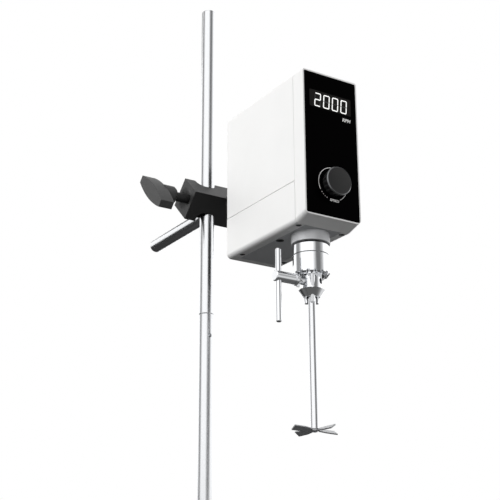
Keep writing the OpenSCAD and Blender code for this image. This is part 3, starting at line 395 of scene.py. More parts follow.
def propeller_sheet():
    """Stainless sheet with a rolled finish, scuffed by use: dull grey with darker smears."""
    material, shader, coords = start_material("rolled_stainless_sheet", "#9C9D9F", 0.42, metallic=0.6)
    fac = grain(material, shader, coords, size=1.2 * MM, depth=0.006 * MM, stretch=(3, 1, 1), detail=4.0)
    vary_roughness(material, shader, fac, 0.26, 0.46)
    tint(material, shader, fac, "#939496", "#A5A6A8")
    return material


def underside_sheet():
    """Coated steel cover under the housing: light grey and nearly matt, dark only because it lies in shade."""
    material, shader, coords = start_material("coated_cover_sheet", "#C4C5C7", 0.55)
    fac = grain(material, shader, coords, size=0.8 * MM, depth=0.01 * MM)
    tint(material, shader, fac, "#BEBFC1", "#CACBCD")
    vary_roughness(material, shader, fac, 0.48, 0.62)
    return material


def zinc_steel():
    """Zinc-plated steel: bluish grey with fine cloudy crystals."""
    material, shader, coords = start_material("zinc_plated_steel", "#A9ACB0", 0.3, metallic=1.0)
    fac = grain(material, shader, coords, size=0.8 * MM, depth=0.004 * MM, detail=4.0)
    vary_roughness(material, shader, fac, 0.22, 0.4)
    tint(material, shader, fac, "#9DA0A5", "#B5B8BC")
    return material


def black_screw():
    """Black-oxide screws: dark with an oily sheen."""
    material, shader, coords = start_material("black_oxide_steel", "#202021", 0.35, metallic=0.6)
    fac = grain(material, shader, coords, size=0.4 * MM, depth=0.003 * MM)
    vary_roughness(material, shader, fac, 0.28, 0.45)
    tint(material, shader, fac, "#1A1A1B", "#29292A")
    return material


def rubber():
    """Black moulded rubber: matt and slightly mottled."""
    material, shader, coords = start_material("moulded_rubber", "#1E1E1F", 0.8, ior=1.52)
    fac = grain(material, shader, coords, size=0.9 * MM, depth=0.03 * MM, detail=3.0)
    tint(material, shader, fac, "#191919", "#242424")
    vary_roughness(material, shader, fac, 0.72, 0.9)
    return material


def brass():
    """Turned brass: warm yellow with fine tool marks."""
    material, shader, coords = start_material("turned_brass", "#C9A55C", 0.28, metallic=1.0)
    fac = grain(material, shader, coords, size=0.4 * MM, depth=0.003 * MM, stretch=(0.5, 4, 4))
    vary_roughness(material, shader, fac, 0.2, 0.36)
    tint(material, shader, fac, "#BF9A50", "#D2AF68")
    return material


def milled_aluminium():
    """Milled aluminium: light grey with cutter lines 0.8 mm apart."""
    material, shader, coords = start_material("milled_aluminium", "#BFC1C4", 0.34, metallic=1.0)
    fac = grain(material, shader, coords, size=0.8 * MM, depth=0.006 * MM, stretch=(1, 10, 10))
    vary_roughness(material, shader, fac, 0.26, 0.42)
    tint(material, shader, fac, "#B4B6B9", "#C9CBCE")
    return material


def board_laminate():
    """Green solder mask over glass fibre: smooth with a faint weave."""
    material, shader, coords = start_material("green_board_laminate", "#2E6B3F", 0.35)
    weave = add_node(material, "ShaderNodeTexChecker", {"Scale": 1 / (0.9 * MM)}, {"Vector": coords})
    tint(material, shader, weave.outputs["Fac"], "#2A653B", "#316F43")
    return material


def nylon_gear():
    """Natural nylon: cream, waxy and slightly see-through at thin edges."""
    material, shader, coords = start_material("natural_nylon", "#E4DDCB", 0.45)
    shader.inputs["Subsurface Weight"].default_value = 0.1
    shader.inputs["Subsurface Radius"].default_value = (0.002, 0.0015, 0.001)
    fac = grain(material, shader, coords, size=0.7 * MM, depth=0.006 * MM)
    tint(material, shader, fac, "#DED6C3", "#E9E3D3")
    return material


def motor_winding():
    """Enamelled copper windings in a laminated core: reddish brown lines 2 mm apart, with painted shade in the grooves
    between the wires.
    """
    material, shader, coords = start_material("enamelled_winding", "#7A4A2C", 0.4, metallic=0.5)
    wires_and_groove_shade = add_node(material, "ShaderNodeTexWave",
                     {"bands_direction": "Z", "Scale": 1 / (2 * math.pi * MM)}, {"Vector": coords})
    # the colour follows the wire pattern and is darkest where the bump is lowest: painted shade in the grooves between
    # the wires
    tint(material, shader, wires_and_groove_shade.outputs["Fac"], "#5A351F", "#93603A")
    bump = add_node(material, "ShaderNodeBump", {"Strength": 0.6, "Distance": 0.1 * MM},
                    {"Height": wires_and_groove_shade.outputs["Fac"]})
    material.node_tree.links.new(bump.outputs["Normal"], shader.inputs["Normal"])
    return material


# The finish of each material slot of the record
MAKERS = {
    "rubber": rubber, "base_paint": base_coat, "zinc_steel": zinc_steel, "black_steel": black_screw,
    "rod_steel": ground_rod, "clamp_black": coated_casting, "black_plastic": black_plastic,
    "knob_plastic": knob_abs, "brass": brass, "aluminium": milled_aluminium, "white_plastic": moulded_abs,
    "panel_black": panel_foil, "window_dark": smoked_acrylic, "board_green": board_laminate,
    "grey_paint": underside_sheet, "shroud_metal": satin_shroud, "gear_nylon": nylon_gear,
    "winding": motor_winding, "chuck_chrome": polished_chrome, "key_chrome": polished_chrome,
    "shaft_steel": polished_shaft, "propeller_steel": propeller_sheet,
}
# Finishes that share a record slot with another one
EXTRA_MAKERS = {
    "white_ink": white_ink, "lit_segment": lit_segment, "dark_segment": dark_segment,
    "wing_nylon": moulded_nylon, "knob_face": brushed_face, "cut_rim": cut_rim,
}


def finish(name):
    """The material of a slot, made on first use."""
    if name not in FINISHES:
        FINISHES[name] = {**MAKERS, **EXTRA_MAKERS}[name]()
    return FINISHES[name]


# Mesh helpers


def slot_of(node):
    """The record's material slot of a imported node."""
    return next(part["material_slot"] for part in frame["record"]["subparts"] if part["node"] == node)


def body_of(node):
    """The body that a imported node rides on."""
    return frame["nodes"][node]["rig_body"]


def new_piece(name, bm, body, slot, look=None, nodes=(), smooth=True):
    """Makes an object of a bmesh, finishes it and lets it ride on its body."""
    mesh = bpy.data.meshes.new(name)
    bm.to_mesh(mesh)
    bm.free()
    mesh.polygons.foreach_set("use_smooth", [smooth] * len(mesh.polygons))
    mesh.set_sharp_from_angle(angle=SMOOTH_ANGLE)
    piece = bpy.data.objects.new(name, mesh)
    bpy.context.scene.collection.objects.link(piece)
    mesh.materials.append(finish(look or slot))
    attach(piece, body)
    if nodes:
        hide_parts(*nodes)
    return piece


def round_edges(bm, width, segments=2, angle=math.radians(35)):
    """Bevels each edge at which two faces meet at more than the angle."""
    sharp = [e for e in bm.edges if len(e.link_faces) == 2 and e.calc_face_angle(0) > angle]
    bmesh.ops.bevel(bm, geom=sharp, offset=width, offset_type="OFFSET", segments=segments, profile=0.5,
                    affect="EDGES", clamp_overlap=True, material=-1)


def node_copy(node):
    """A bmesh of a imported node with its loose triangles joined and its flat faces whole."""
    bm = bmesh.new()
    bm.from_mesh(frame["nodes"][node].data)
    bmesh.ops.remove_doubles(bm, verts=bm.verts, dist=0.002 * MM)
    bmesh.ops.dissolve_limit(bm, angle_limit=math.radians(0.5), verts=bm.verts, edges=bm.edges,
                             delimit={"NORMAL"})
    return bm


def soften(node, width, look=None, segments=2):
    """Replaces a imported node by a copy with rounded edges."""
    bm = node_copy(node)
    round_edges(bm, width, segments)
    piece = new_piece(node + "_piece", bm, body_of(node), slot_of(node), look, (node,))
    even = piece.modifiers.new("even shading", "WEIGHTED_NORMAL")
    even.keep_sharp = True


def turned(points, steps=128):
    """A bmesh of a profile of (radius, height) points, spun once round Z; it starts and ends on the axis."""
    bm = bmesh.new()
    line = [bm.verts.new((radius, 0, height)) for radius, height in points]
    edges = [bm.edges.new(pair) for pair in zip(line, line[1:])]
    bmesh.ops.spin(bm, geom=line + edges, cent=(0, 0, 0), axis=(0, 0, 1), dvec=(0, 0, 0),
                   angle=2 * math.pi, steps=steps, use_merge=True, use_duplicate=False)
    bmesh.ops.remove_doubles(bm, verts=bm.verts, dist=1e-7)
    bmesh.ops.recalc_face_normals(bm, faces=bm.faces)
    return bm


def hoop(points, start=0.0, sweep=2 * math.pi, steps=48):
    """A closed section of (radius, height) points spun round Z, whole or as an arc with closed ends."""
    whole = abs(sweep) >= 2 * math.pi
    bm = bmesh.new()
    loop = [bm.verts.new((radius, 0, height)) for radius, height in points]
    sides = [bm.edges.new((a, b)) for a, b in zip(loop, loop[1:] + loop[:1])]
    section = loop + sides if whole else loop + sides + [bm.faces.new(loop)]
    bmesh.ops.rotate(bm, cent=(0, 0, 0), matrix=Matrix.Rotation(start, 3, "Z"), verts=bm.verts)
    bmesh.ops.spin(bm, geom=section, cent=(0, 0, 0), axis=(0, 0, 1), dvec=(0, 0, 0), angle=sweep, steps=steps,
                   use_merge=whole, use_duplicate=False)
    bmesh.ops.recalc_face_normals(bm, faces=bm.faces)
    return bm


def band(radius, width, thickness, start=0.0, sweep=2 * math.pi, steps=48):
    """A flat ring or part of one about Z, between heights 0 and its thickness."""
    inner, outer = radius - width / 2, radius + width / 2
    return hoop([(inner, 0), (outer, 0), (outer, thickness), (inner, thickness)], start, sweep, steps)


def rod_profile(radius, length, chamfer):
    """Profile of a round bar with chamfered ends, each chamfer eased by a second point. A further point close by keeps
    the shading of the chamfer off the long side."""
    end = [(0, 0), (radius - chamfer, 0), (radius - 0.25 * chamfer, 0.6 * chamfer), (radius, 1.3 * chamfer),
           (radius, 1.6 * chamfer)]
    return end + [(across, length - height) for across, height in reversed(end)]


def place(bm, *moves):
    """Applies transforms to a whole bmesh, the first one first."""
    for move in moves:
        bmesh.ops.transform(bm, matrix=move, verts=bm.verts)
    return bm


def slab(width, depth, height):
    """A box centred on the origin."""
    bm = bmesh.new()
    bmesh.ops.create_cube(bm, size=1)
    bmesh.ops.scale(bm, vec=(width, depth, height), verts=bm.verts)
    return bm


def join(first, second):
    """Adds the second bmesh to the first."""
    mesh = bpy.data.meshes.new("joined")
    second.to_mesh(mesh)
    second.free()
    first.from_mesh(mesh)
    bpy.data.meshes.remove(mesh)
    return first


def carve(piece, cutter):
    """Cuts a bmesh out of a piece for good."""
    mesh = bpy.data.meshes.new("cutter")
    cutter.to_mesh(mesh)
    cutter.free()
    tool = bpy.data.objects.new("cutter", mesh)
    bpy.context.scene.collection.objects.link(tool)
    modifier = piece.modifiers.new("cut", "BOOLEAN")
    modifier.object = tool
    modifier.operation = "DIFFERENCE"
    modifier.solver = "EXACT"
    done = bpy.data.meshes.new_from_object(piece.evaluated_get(bpy.context.evaluated_depsgraph_get()))
    piece.modifiers.clear()
    old = piece.data
    piece.data = done
    done.polygons.foreach_set("use_smooth", [True] * len(done.polygons))
    done.set_sharp_from_angle(angle=SMOOTH_ANGLE)
    bpy.data.meshes.remove(old)
    bpy.data.objects.remove(tool)
    bpy.data.meshes.remove(mesh)


# Stand


# The stud that joins the two rod sections, its bore, and the tommy bar's hole below the joint
STUD_RADIUS = 5 * MM
STUD_BORE_RADIUS = 5.05 * MM
STUD_BORE_DEPTH = 19 * MM
CROSS_HOLE_RADIUS = 2.25 * MM
CROSS_HOLE_DROP = 24 * MM


class STIRRER_OT_stand(bpy.types.Operator):
    """Base plate, its mat and the two screwed stand rods"""
    bl_idname = "stirrer.stand"
    bl_label = "Stand"

    def execute(self, context):
        soften("base_mat", 0.5 * MM)
        soften("base_plate", 1.2 * MM, segments=3)
        soften("base_screw", 0.2 * MM)
        for node in ("lower_rod", "upper_rod"):
            stand_rod(node)
        return {"FINISHED"}


def stand_rod(node):
    """One rod section with eased chamfers; the upper one keeps its stud, the lower one its cross hole."""
    low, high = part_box(node)
    radius = (high.x - low.x) / 2
    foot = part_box("lower_rod")[1].z if node == "upper_rod" else low.z
    overlap = 1 * MM
    bm = turned(rod_profile(radius, high.z - foot, chamfer=0.6 * MM), 160)
    place(bm, Matrix.Translation((0, 0, foot)))
    if node == "upper_rod":
        stud = turned(rod_profile(STUD_RADIUS, foot - low.z + overlap, chamfer=0.4 * MM), 64)
        join(bm, place(stud, Matrix.Translation((0, 0, low.z))))
    piece = new_piece(node + "_bar", bm, body_of(node), slot_of(node), nodes=(node,))
    if node == "lower_rod":
        hole = turned(rod_profile(CROSS_HOLE_RADIUS, 4 * radius, chamfer=0.1 * MM), 48)
        place(hole, Matrix.Rotation(math.pi / 2, 4, "X"),
              Matrix.Translation((0, 2 * radius, high.z - CROSS_HOLE_DROP)))
        carve(piece, hole)
        bore = turned(rod_profile(STUD_BORE_RADIUS, STUD_BORE_DEPTH + overlap, chamfer=0.1 * MM), 64)
        carve(piece, place(bore, Matrix.Translation((0, 0, high.z - STUD_BORE_DEPTH))))


# Clamp, wing screws and support rod


class STIRRER_OT_clamp(bpy.types.Operator):
    """Clamp body with its two wing screws"""
    bl_idname = "stirrer.clamp"
    bl_label = "Clamp"

    def execute(self, context):
        edge = sizes().cast_edge
        soften("clamp_body", edge, segments=3)
        for side in ("rod", "support"):
            soften(side + "_wing_knob", edge, "wing_nylon", segments=3)
            soften(side + "_clamp_screw", 0.3 * MM, "clamp_black")
        return {"FINISHED"}


class STIRRER_OT_support_rod(bpy.types.Operator):
    """Support rod with its chamfered end, and the block that holds it in the head"""
    bl_idname = "stirrer.support_rod"
    bl_label = "Support rod"

    def execute(self, context):
        low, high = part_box("support_rod")
        radius = (high.x - low.x) / 2
        centre = middle("support_rod")
        bm = turned(rod_profile(radius, high.y - low.y, chamfer=1.2 * MM), 128)
        place(bm, Matrix.Rotation(math.pi / 2, 4, "X"), Matrix.Translation((centre.x, high.y, centre.z)))
        new_piece("support_bar", bm, "arm", "rod_steel", nodes=("support_rod",))
        soften("rod_socket", sizes().edge)
        return {"FINISHED"}


# Housing


class STIRRER_OT_housing(bpy.types.Operator):
    """White shells, front bezel, underside cover, their screws and the spindle housing with its light shroud"""
    bl_idname = "stirrer.housing"
    bl_label = "Housing"

    def execute(self, context):
        edge = sizes().edge
        for node in ("upper_shell", "lower_shell", "front_bezel"):
            soften(node, edge)
        soften("bottom_plate", 0.25 * MM)
        soften("spindle_housing", 0.5 * MM)
        soften("shell_screws", 0.12 * MM)
        return {"FINISHED"}


class STIRRER_OT_rear(bpy.types.Operator):
    """Rear cover's screws, mains inlet with its contacts, and the rocker switch"""
    bl_idname = "stirrer.rear"
    bl_label = "Rear"

    def execute(self, context):
        edge = sizes().edge
        soften("cover_screws", 0.1 * MM)
        soften("power_inlet", edge)
        soften("switch_frame", edge)
        soften("switch_rocker", edge)
        inlet_contacts()
        rocker_marks()
        return {"FINISHED"}


def inlet_contacts():
    """Plated sleeves over the inlet's three flat contacts, which end behind its lip."""
    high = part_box("power_inlet")[1]
    centre = middle("power_inlet")
    lip, behind = 1.5 * MM, 2 * MM
    width, height, reach = 2 * MM, 4 * MM, 9 * MM
    skin = 0.06 * MM
    whole = bmesh.new()
    for across, up in ((-7, -2), (7, -2), (0, 2)):
        pin = slab(width + 2 * skin, reach, height + 2 * skin)
        round_edges(pin, 0.4 * MM)
        centre_y = high.y - lip - behind - reach / 2 + skin
        place(pin, Matrix.Translation((centre.x + across * MM, centre_y, centre.z + up * MM)))
        join(whole, pin)
    new_piece("inlet_contacts", whole, "head", "zinc_steel")


def rocker_marks():
    """Plain I and O marks in the two slopes of the rocker's dished face, at rest."""
    pivot_depth = 3 * MM
    face, apart, thickness = 3.6 * MM, 2.3 * MM, 0.3 * MM
    slope, tilt = math.radians(9.5), math.radians(-8)
    pivot = Vector((middle("switch_rocker").x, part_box("rear_cover")[1].y - pivot_depth, middle("switch_frame").z))
    bar = place(slab(0.5 * MM, thickness, 2.2 * MM), Matrix.Rotation(-slope, 4, "X"),
                Matrix.Translation((0, face, -apart)))
    ring = place(band(0.95 * MM, 0.45 * MM, thickness), Matrix.Translation((0, 0, -thickness / 2)),
                 Matrix.Rotation(math.pi / 2 + slope, 4, "X"), Matrix.Translation((0, face, apart)))
    marks = place(join(bar, ring), Matrix.Rotation(tilt, 4, "X"), Matrix.Translation(pivot))
    new_piece("rocker_marks", marks, "rocker", "black_plastic", "white_ink", smooth=False)


# Front panel


# Lit segments of each figure, named a to g in the usual way
SEGMENTS = {"2": "abged", "0": "abcdef"}


def segment_bar(length, thickness, height):
    """A display segment along X with mitred ends; the mitres stop just short of a point."""
    bm = place(slab(length, thickness, height), Matrix.Translation((0, 0, height / 2)))
    corners = [e for e in bm.edges if abs(e.verts[0].co.z - e.verts[1].co.z) > height / 2]
    bmesh.ops.bevel(bm, geom=corners, offset=0.49 * thickness, offset_type="OFFSET", segments=1, profile=0.5,
                    affect="EDGES", clamp_overlap=True, material=-1)
    return bm


def digit(figure, width, height, thickness, depth, lit=True):
    """The lit or the dark segments of a figure, centred on the origin in X and Y."""
    across, up = width / 2 - thickness / 2, height / 2 - thickness / 2
    spots = {
        "a": ((0, up), 0), "g": ((0, 0), 0), "d": ((0, -up), 0),
        "b": ((across, up / 2), 90), "c": ((across, -up / 2), 90),
        "f": ((-across, up / 2), 90), "e": ((-across, -up / 2), 90),
    }
    whole = bmesh.new()
    for name, ((x, y), turn) in spots.items():
        if (name in SEGMENTS[figure]) != lit:
            continue
        bar = segment_bar((up if turn else 2 * across) + 0.02 * thickness, thickness, depth)
        join(whole, place(bar, Matrix.Rotation(math.radians(turn), 4, "Z"), Matrix.Translation((x, y, 0))))
    return whole


def onto_panel(x, z, proud):
    """The move from a drawing in X and Y to the panel's face: x and z are metres from its lower middle."""
    return (Matrix.Rotation(math.pi / 2, 4, "X"),
            Matrix.Translation((PANEL_X + x, PANEL_FRONT - proud, PANEL_LOW.z + z)))


def label(name, text, size, x, z, slant=0.0, widen=1.0):
    """A printed word, a little bolder than the font, centred at x and z on the panel."""
    curve = bpy.data.curves.new(name, "FONT")
    curve.body = text
    curve.size = size
    curve.shear = slant
    curve.align_x = "CENTER"
    curve.align_y = "CENTER"
    curve.extrude = sizes().print_height / 2
    curve.offset = 0.03 * size
    holder = bpy.data.objects.new(name, curve)
    bpy.context.scene.collection.objects.link(holder)
    mesh = bpy.data.meshes.new_from_object(holder.evaluated_get(bpy.context.evaluated_depsgraph_get()))
    bm = bmesh.new()
    bm.from_mesh(mesh)
    bmesh.ops.remove_doubles(bm, verts=bm.verts, dist=1e-6)
    bpy.data.meshes.remove(mesh)
    bpy.data.objects.remove(holder)
    bpy.data.curves.remove(curve)
    place(bm, Matrix.Diagonal((widen, 1, 1, 1)), *onto_panel(x, z, sizes().print_height / 2))
    new_piece(name, bm, "head", "panel_black", "white_ink", smooth=False)


class STIRRER_OT_panel(bpy.types.Operator):
    """Black front panel with its window, lit digits, ring scale and words"""
    bl_idname = "stirrer.panel"
    bl_label = "Front panel"

    def execute(self, context):
        soften("front_panel", 0.2 * MM)
        soften("display_window", 0.12 * MM)
        display_digits()
        dial_scale()
        label("rpm_word", "RPM", size=5 * MM, x=18.6 * MM, z=105.0 * MM, slant=0.25, widen=1.05)
        label("speed_word", "SPEED", size=3.5 * MM, x=1.6 * MM, z=17.0 * MM, widen=1.12)
        return {"FINISHED"}


def display_digits():
    """The figures 2000 in lit segments, with the dark segments between them."""
    window_low, window_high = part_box("display_window")
    height = sizes().digit_height
    width, thickness = 7.6 * MM, 1.12 * MM
    left, pitch, drop = -15.2 * MM, 10.45 * MM, 0.8 * MM
    middle_z = (window_low.z + window_high.z) / 2 - PANEL_LOW.z - drop
    lean = Matrix.Shear("XZ", 4, (0.07, 0))
    proud = PANEL_FRONT - window_low.y
    for lit, name, look in ((True, "lit_digits", "lit_segment"), (False, "dark_segments", "dark_segment")):
        whole = bmesh.new()
        for k, figure in enumerate("2000"):
            bm = digit(figure, width, height, thickness, sizes().print_height, lit)
            join(whole, place(bm, lean, Matrix.Translation((left + k * pitch, 0, 0))))
        place(whole, *onto_panel(0, middle_z, proud))
        new_piece(name, whole, "head", "window_dark", look, smooth=False)


def dial_scale():
    """Thin ring from the lower left over the top to the lower right, and four dots before its start."""
    radius = sizes().ring_radius
    line_width, dot_radius = 0.55 * MM, 0.42 * MM
    thickness = sizes().print_height
    knob_z = KNOB_AXIS.z - PANEL_LOW.z
    start, end = math.radians(208), math.radians(-62)
    first_dot, dot_pitch, dots = math.radians(218), math.radians(8.6), 4
    ring = band(radius, line_width, thickness, start, end - start, 96)
    for k in range(dots):
        dot = turned([(0, 0), (dot_radius, 0), (dot_radius, thickness), (0, thickness)], 16)
        angle = first_dot + k * dot_pitch
        join(ring, place(dot, Matrix.Translation((radius * math.cos(angle), radius * math.sin(angle), 0))))
    place(ring, *onto_panel(0, knob_z, 0))
    new_piece("dial_scale", ring, "head", "panel_black", "white_ink", smooth=False)


class STIRRER_OT_knob(bpy.types.Operator):
    """Fluted speed knob with a brushed face and a bright cut rim"""
    bl_idname = "stirrer.knob"
    bl_label = "Speed knob"

    def execute(self, context):
        inset = 0.9 * MM
        radius = (KNOB_HIGH.x - KNOB_LOW.x) / 2
        body = node_copy("speed_knob")
        front = bmesh.ops.bisect_plane(body, geom=body.verts[:] + body.edges[:] + body.faces[:], dist=1e-6,
                                       plane_co=(0, KNOB_LOW.y + inset, 0), plane_no=(0, -1, 0), clear_outer=True)
        cut = [e for e in front["geom_cut"] if isinstance(e, bmesh.types.BMEdge)]
        bmesh.ops.holes_fill(body, edges=cut, sides=0)
        round_edges(body, 0.2 * MM)
        new_piece("knob_body", body, "knob", "knob_plastic", nodes=("speed_knob",))
        onto_front = (Matrix.Rotation(math.pi / 2, 4, "X"),
                      Matrix.Translation((KNOB_AXIS.x, KNOB_LOW.y, KNOB_AXIS.z)))
        inner, outer = radius - 1.15 * MM, radius - 0.1 * MM
        crest, shoulder = 0.35 * MM, 0.75 * MM
        rim = hoop([(inner, -inset), (outer, -inset), (outer, -shoulder), (inner + crest, 0), (inner, 0)], steps=128)
        new_piece("knob_rim", place(rim, *onto_front), "knob", "knob_plastic", "cut_rim")
        ease, play = 0.12 * MM, 0.02 * MM
        face = turned([(0, -inset), (inner - play, -inset), (inner - play, -2 * ease), (inner - ease, -ease),
                       (inner - 2 * ease, -0.8 * ease), (0, -0.8 * ease)])
        new_piece("knob_face", place(face, *onto_front), "knob", "knob_plastic", "knob_face")
        return {"FINISHED"}


# Chuck, key, shaft and propeller


class STIRRER_OT_chuck(bpy.types.Operator):
    """Keyed chuck: back ring, toothed sleeve with its knurled band, nose and jaws"""
    bl_idname = "stirrer.chuck"
    bl_label = "Chuck"

    def execute(self, context):
        soften("chuck_body", 0.15 * MM)
        soften("chuck_sleeve", 0.2 * MM)
        for k in (1, 2, 3):
            soften("chuck_jaw_%d" % k, 0.15 * MM)
        sleeve_knurl()
        return {"FINISHED"}


def sleeve_knurl():
    """Fine straight knurl in a band below the sleeve's upper edge."""
    low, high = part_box("chuck_sleeve")
    radius = (high.x - low.x) / 2
    height, wall, top = 6.2 * MM, 0.4 * MM, 1.2 * MM
    proud, depth = 0.04 * MM, 0.07 * MM
    steps = 2 * sizes().knurl_ridges
    knurl = band(radius + proud - wall / 2, wall, height, steps=steps)
    for vert in knurl.verts:
        reach = math.hypot(vert.co.x, vert.co.y)
        if reach > radius - wall / 2 and round(math.atan2(vert.co.y, vert.co.x) / (2 * math.pi) * steps) % 2:
            bmesh.ops.scale(knurl, vec=(1 - depth / reach, 1 - depth / reach, 1), verts=[vert])
    place(knurl, Matrix.Translation((SPINDLE.x, SPINDLE.y, high.z - top - height)))
    new_piece("sleeve_knurl", knurl, "sleeve", "chuck_chrome", smooth=False)


class STIRRER_OT_key(bpy.types.Operator):
    """Chuck key with its sliding cross bar"""
    bl_idname = "stirrer.key"
    bl_label = "Chuck key"

    def execute(self, context):
        soften("chuck_key", 0.2 * MM)
        low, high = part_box("key_bar")
        centre = middle("key_bar")
        bm = turned(rod_profile((high.x - low.x) / 2, high.z - low.z, chamfer=0.8 * MM), 64)
        place(bm, Matrix.Translation((centre.x, centre.y, low.z)))
        new_piece("cross_bar_piece", bm, "cross_bar", "key_chrome", nodes=("key_bar",))
        return {"FINISHED"}


class STIRRER_OT_shaft(bpy.types.Operator):
    """Stirring shaft, its four-bladed propeller and the rivet that holds it"""
    bl_idname = "stirrer.shaft"
    bl_label = "Shaft and propeller"

    def execute(self, context):
        low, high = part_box("stirring_shaft")
        radius = (high.x - low.x) / 2
        seat = middle("propeller").z + BLADE_T / 2
        shaft = turned(rod_profile(radius, high.z - seat, chamfer=0.5 * MM), 96)
        place(shaft, Matrix.Translation((SPINDLE.x, SPINDLE.y, seat)))
        head_radius, head_height, shank_radius = 3.1 * MM, 1.4 * MM, 2 * MM
        shank_top = seat - low.z + 0.2 * MM
        rivet = turned([(0, 0), (1.6 * MM, 0), (2.5 * MM, 0.35 * MM), (head_radius, 1.1 * MM),
                        (head_radius, head_height), (shank_radius, head_height), (shank_radius, shank_top),
                        (0, shank_top)], 48)
        join(shaft, place(rivet, Matrix.Translation((SPINDLE.x, SPINDLE.y, low.z))))
        new_piece("shaft_bar", shaft, "shaft", "shaft_steel", nodes=("stirring_shaft",))
        soften("propeller", 0.15 * MM)
        return {"FINISHED"}


class STIRRER_OT_inside(bpy.types.Operator):
    """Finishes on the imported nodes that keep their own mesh, most of them inside the head"""
    bl_idname = "stirrer.inside"
    bl_label = "Inner pieces"

    def execute(self, context):
        for name, node in frame["nodes"].items():
            if node.hide_render:
                continue
            node.data.materials.clear()
            node.data.materials.append(finish(slot_of(name)))
        return {"FINISHED"}


# Stage


CAMERA_PLACE = (-0.5864, -1.0094, 0.0488)
CAMERA_YAW = 32.465
CAMERA_PITCH = 19.126
CAMERA_ROLL = -0.245
LENS = 81.57
SENSOR = 36.0
# The lamps and cards stand round this line, and the lamps are turned to the head's middle
STAGE_X, STAGE_Y = PANEL_X, -0.1
HEAD_MIDDLE = (PANEL_X, -0.13, 0.5)
# Name, degrees to the right of the camera's side, distance, height, size and watts of each lamp
LAMPS = (
    ("key_lamp", -50, 2.6, 1.5, 1.6, 50),
    ("front_lamp", 24, 3.0, 0.75, 1.5, 19),
    ("left_back_lamp", -125, 2.6, 1.5, 1.4, 22),
    ("right_back_lamp", 130, 2.6, 1.4, 1.4, 12),
)
# The curved screen's radius, upper edge and lower edge, below which the dark wall and ground begin
SCREEN_RADIUS, SCREEN_TOP, HORIZON = 3.2, 6.0, 0.46
# Degrees to the right, distance and height of the high card, its size, and the height that it is turned to
HIGH_CARD_PLACE, HIGH_CARD_SIZE, HIGH_CARD_AIM = (-147.5, 2.4, 2.32), (1.5, 0.02, 0.7), 0.5
# How far the low card and the floor lie under the object, and half the floor's side
LOW_CARD_DROP, FLOOR_DROP, FLOOR_HALF = 0.1 * MM, 0.2 * MM, 12
# Degrees to the right of the camera's side, and brightness there
SCREEN_STOPS = ((-179, 1.0), (-115, 1.0), (-100, 0.24), (-80, 0.26), (-62, 1.0), (8, 1.0), (32, 0.15), (52, 0.15),
                (70, 0.42), (86, 1.0), (179, 1.0))
GROUND_STOPS = ((-179, 0.03), (-104, 0.03), (-84, 0.6), (158, 0.6), (172, 0.03))
HIGH_STOPS = ((-90, 0.04), (90, 0.04))
SCREEN_LEVEL, HIGH_LEVEL = 1.5, 1.0
# Brightness of the ground round the stand's foot, where it begins to fade into the rest and where it has
FOOT_LEVEL, FADE_START, FADE_END = 0.14, 0.4, 1.0
# The floor as the camera sees it, and as it throws light back
FLOOR_SEEN, FLOOR_BOUNCE = 0.86, 0.06
# The surround's strength as light on the object; the camera and mirrors see it at 1
SURROUND_LIGHT = 0.46


def aim(thing, target):
    """Turns a lamp or camera to a point."""
    thing.rotation_euler = (Vector(target) - thing.location).to_track_quat("-Z", "Y").to_euler()


def around(azimuth, distance, height):
    """A point at an angle to the right of the camera's side, as seen from the object."""
    towards = math.radians(CAMERA_YAW + 180) - math.radians(azimuth)
    return Vector((STAGE_X + distance * math.sin(towards), STAGE_Y + distance * math.cos(towards), height))


def softbox(name, azimuth, distance, height, size, power):
    """A square lamp that lights the object and isn't seen in its reflections."""
    light = bpy.data.lights.new(name, "AREA")
    light.shape = "SQUARE"
    light.size = size
    light.energy = power
    lamp = bpy.data.objects.new(name, light)
    bpy.context.scene.collection.objects.link(lamp)
    lamp.location = around(azimuth, distance, height)
    aim(lamp, HEAD_MIDDLE)
    lamp.visible_glossy = False


def stage_piece(name, bm, material):
    """An object of the stage, which isn't a piece of the stirrer."""
    mesh = bpy.data.meshes.new(name)
    bm.to_mesh(mesh)
    bm.free()
    mesh.materials.append(material)
    piece = bpy.data.objects.new(name, mesh)
    bpy.context.scene.collection.objects.link(piece)
    return piece


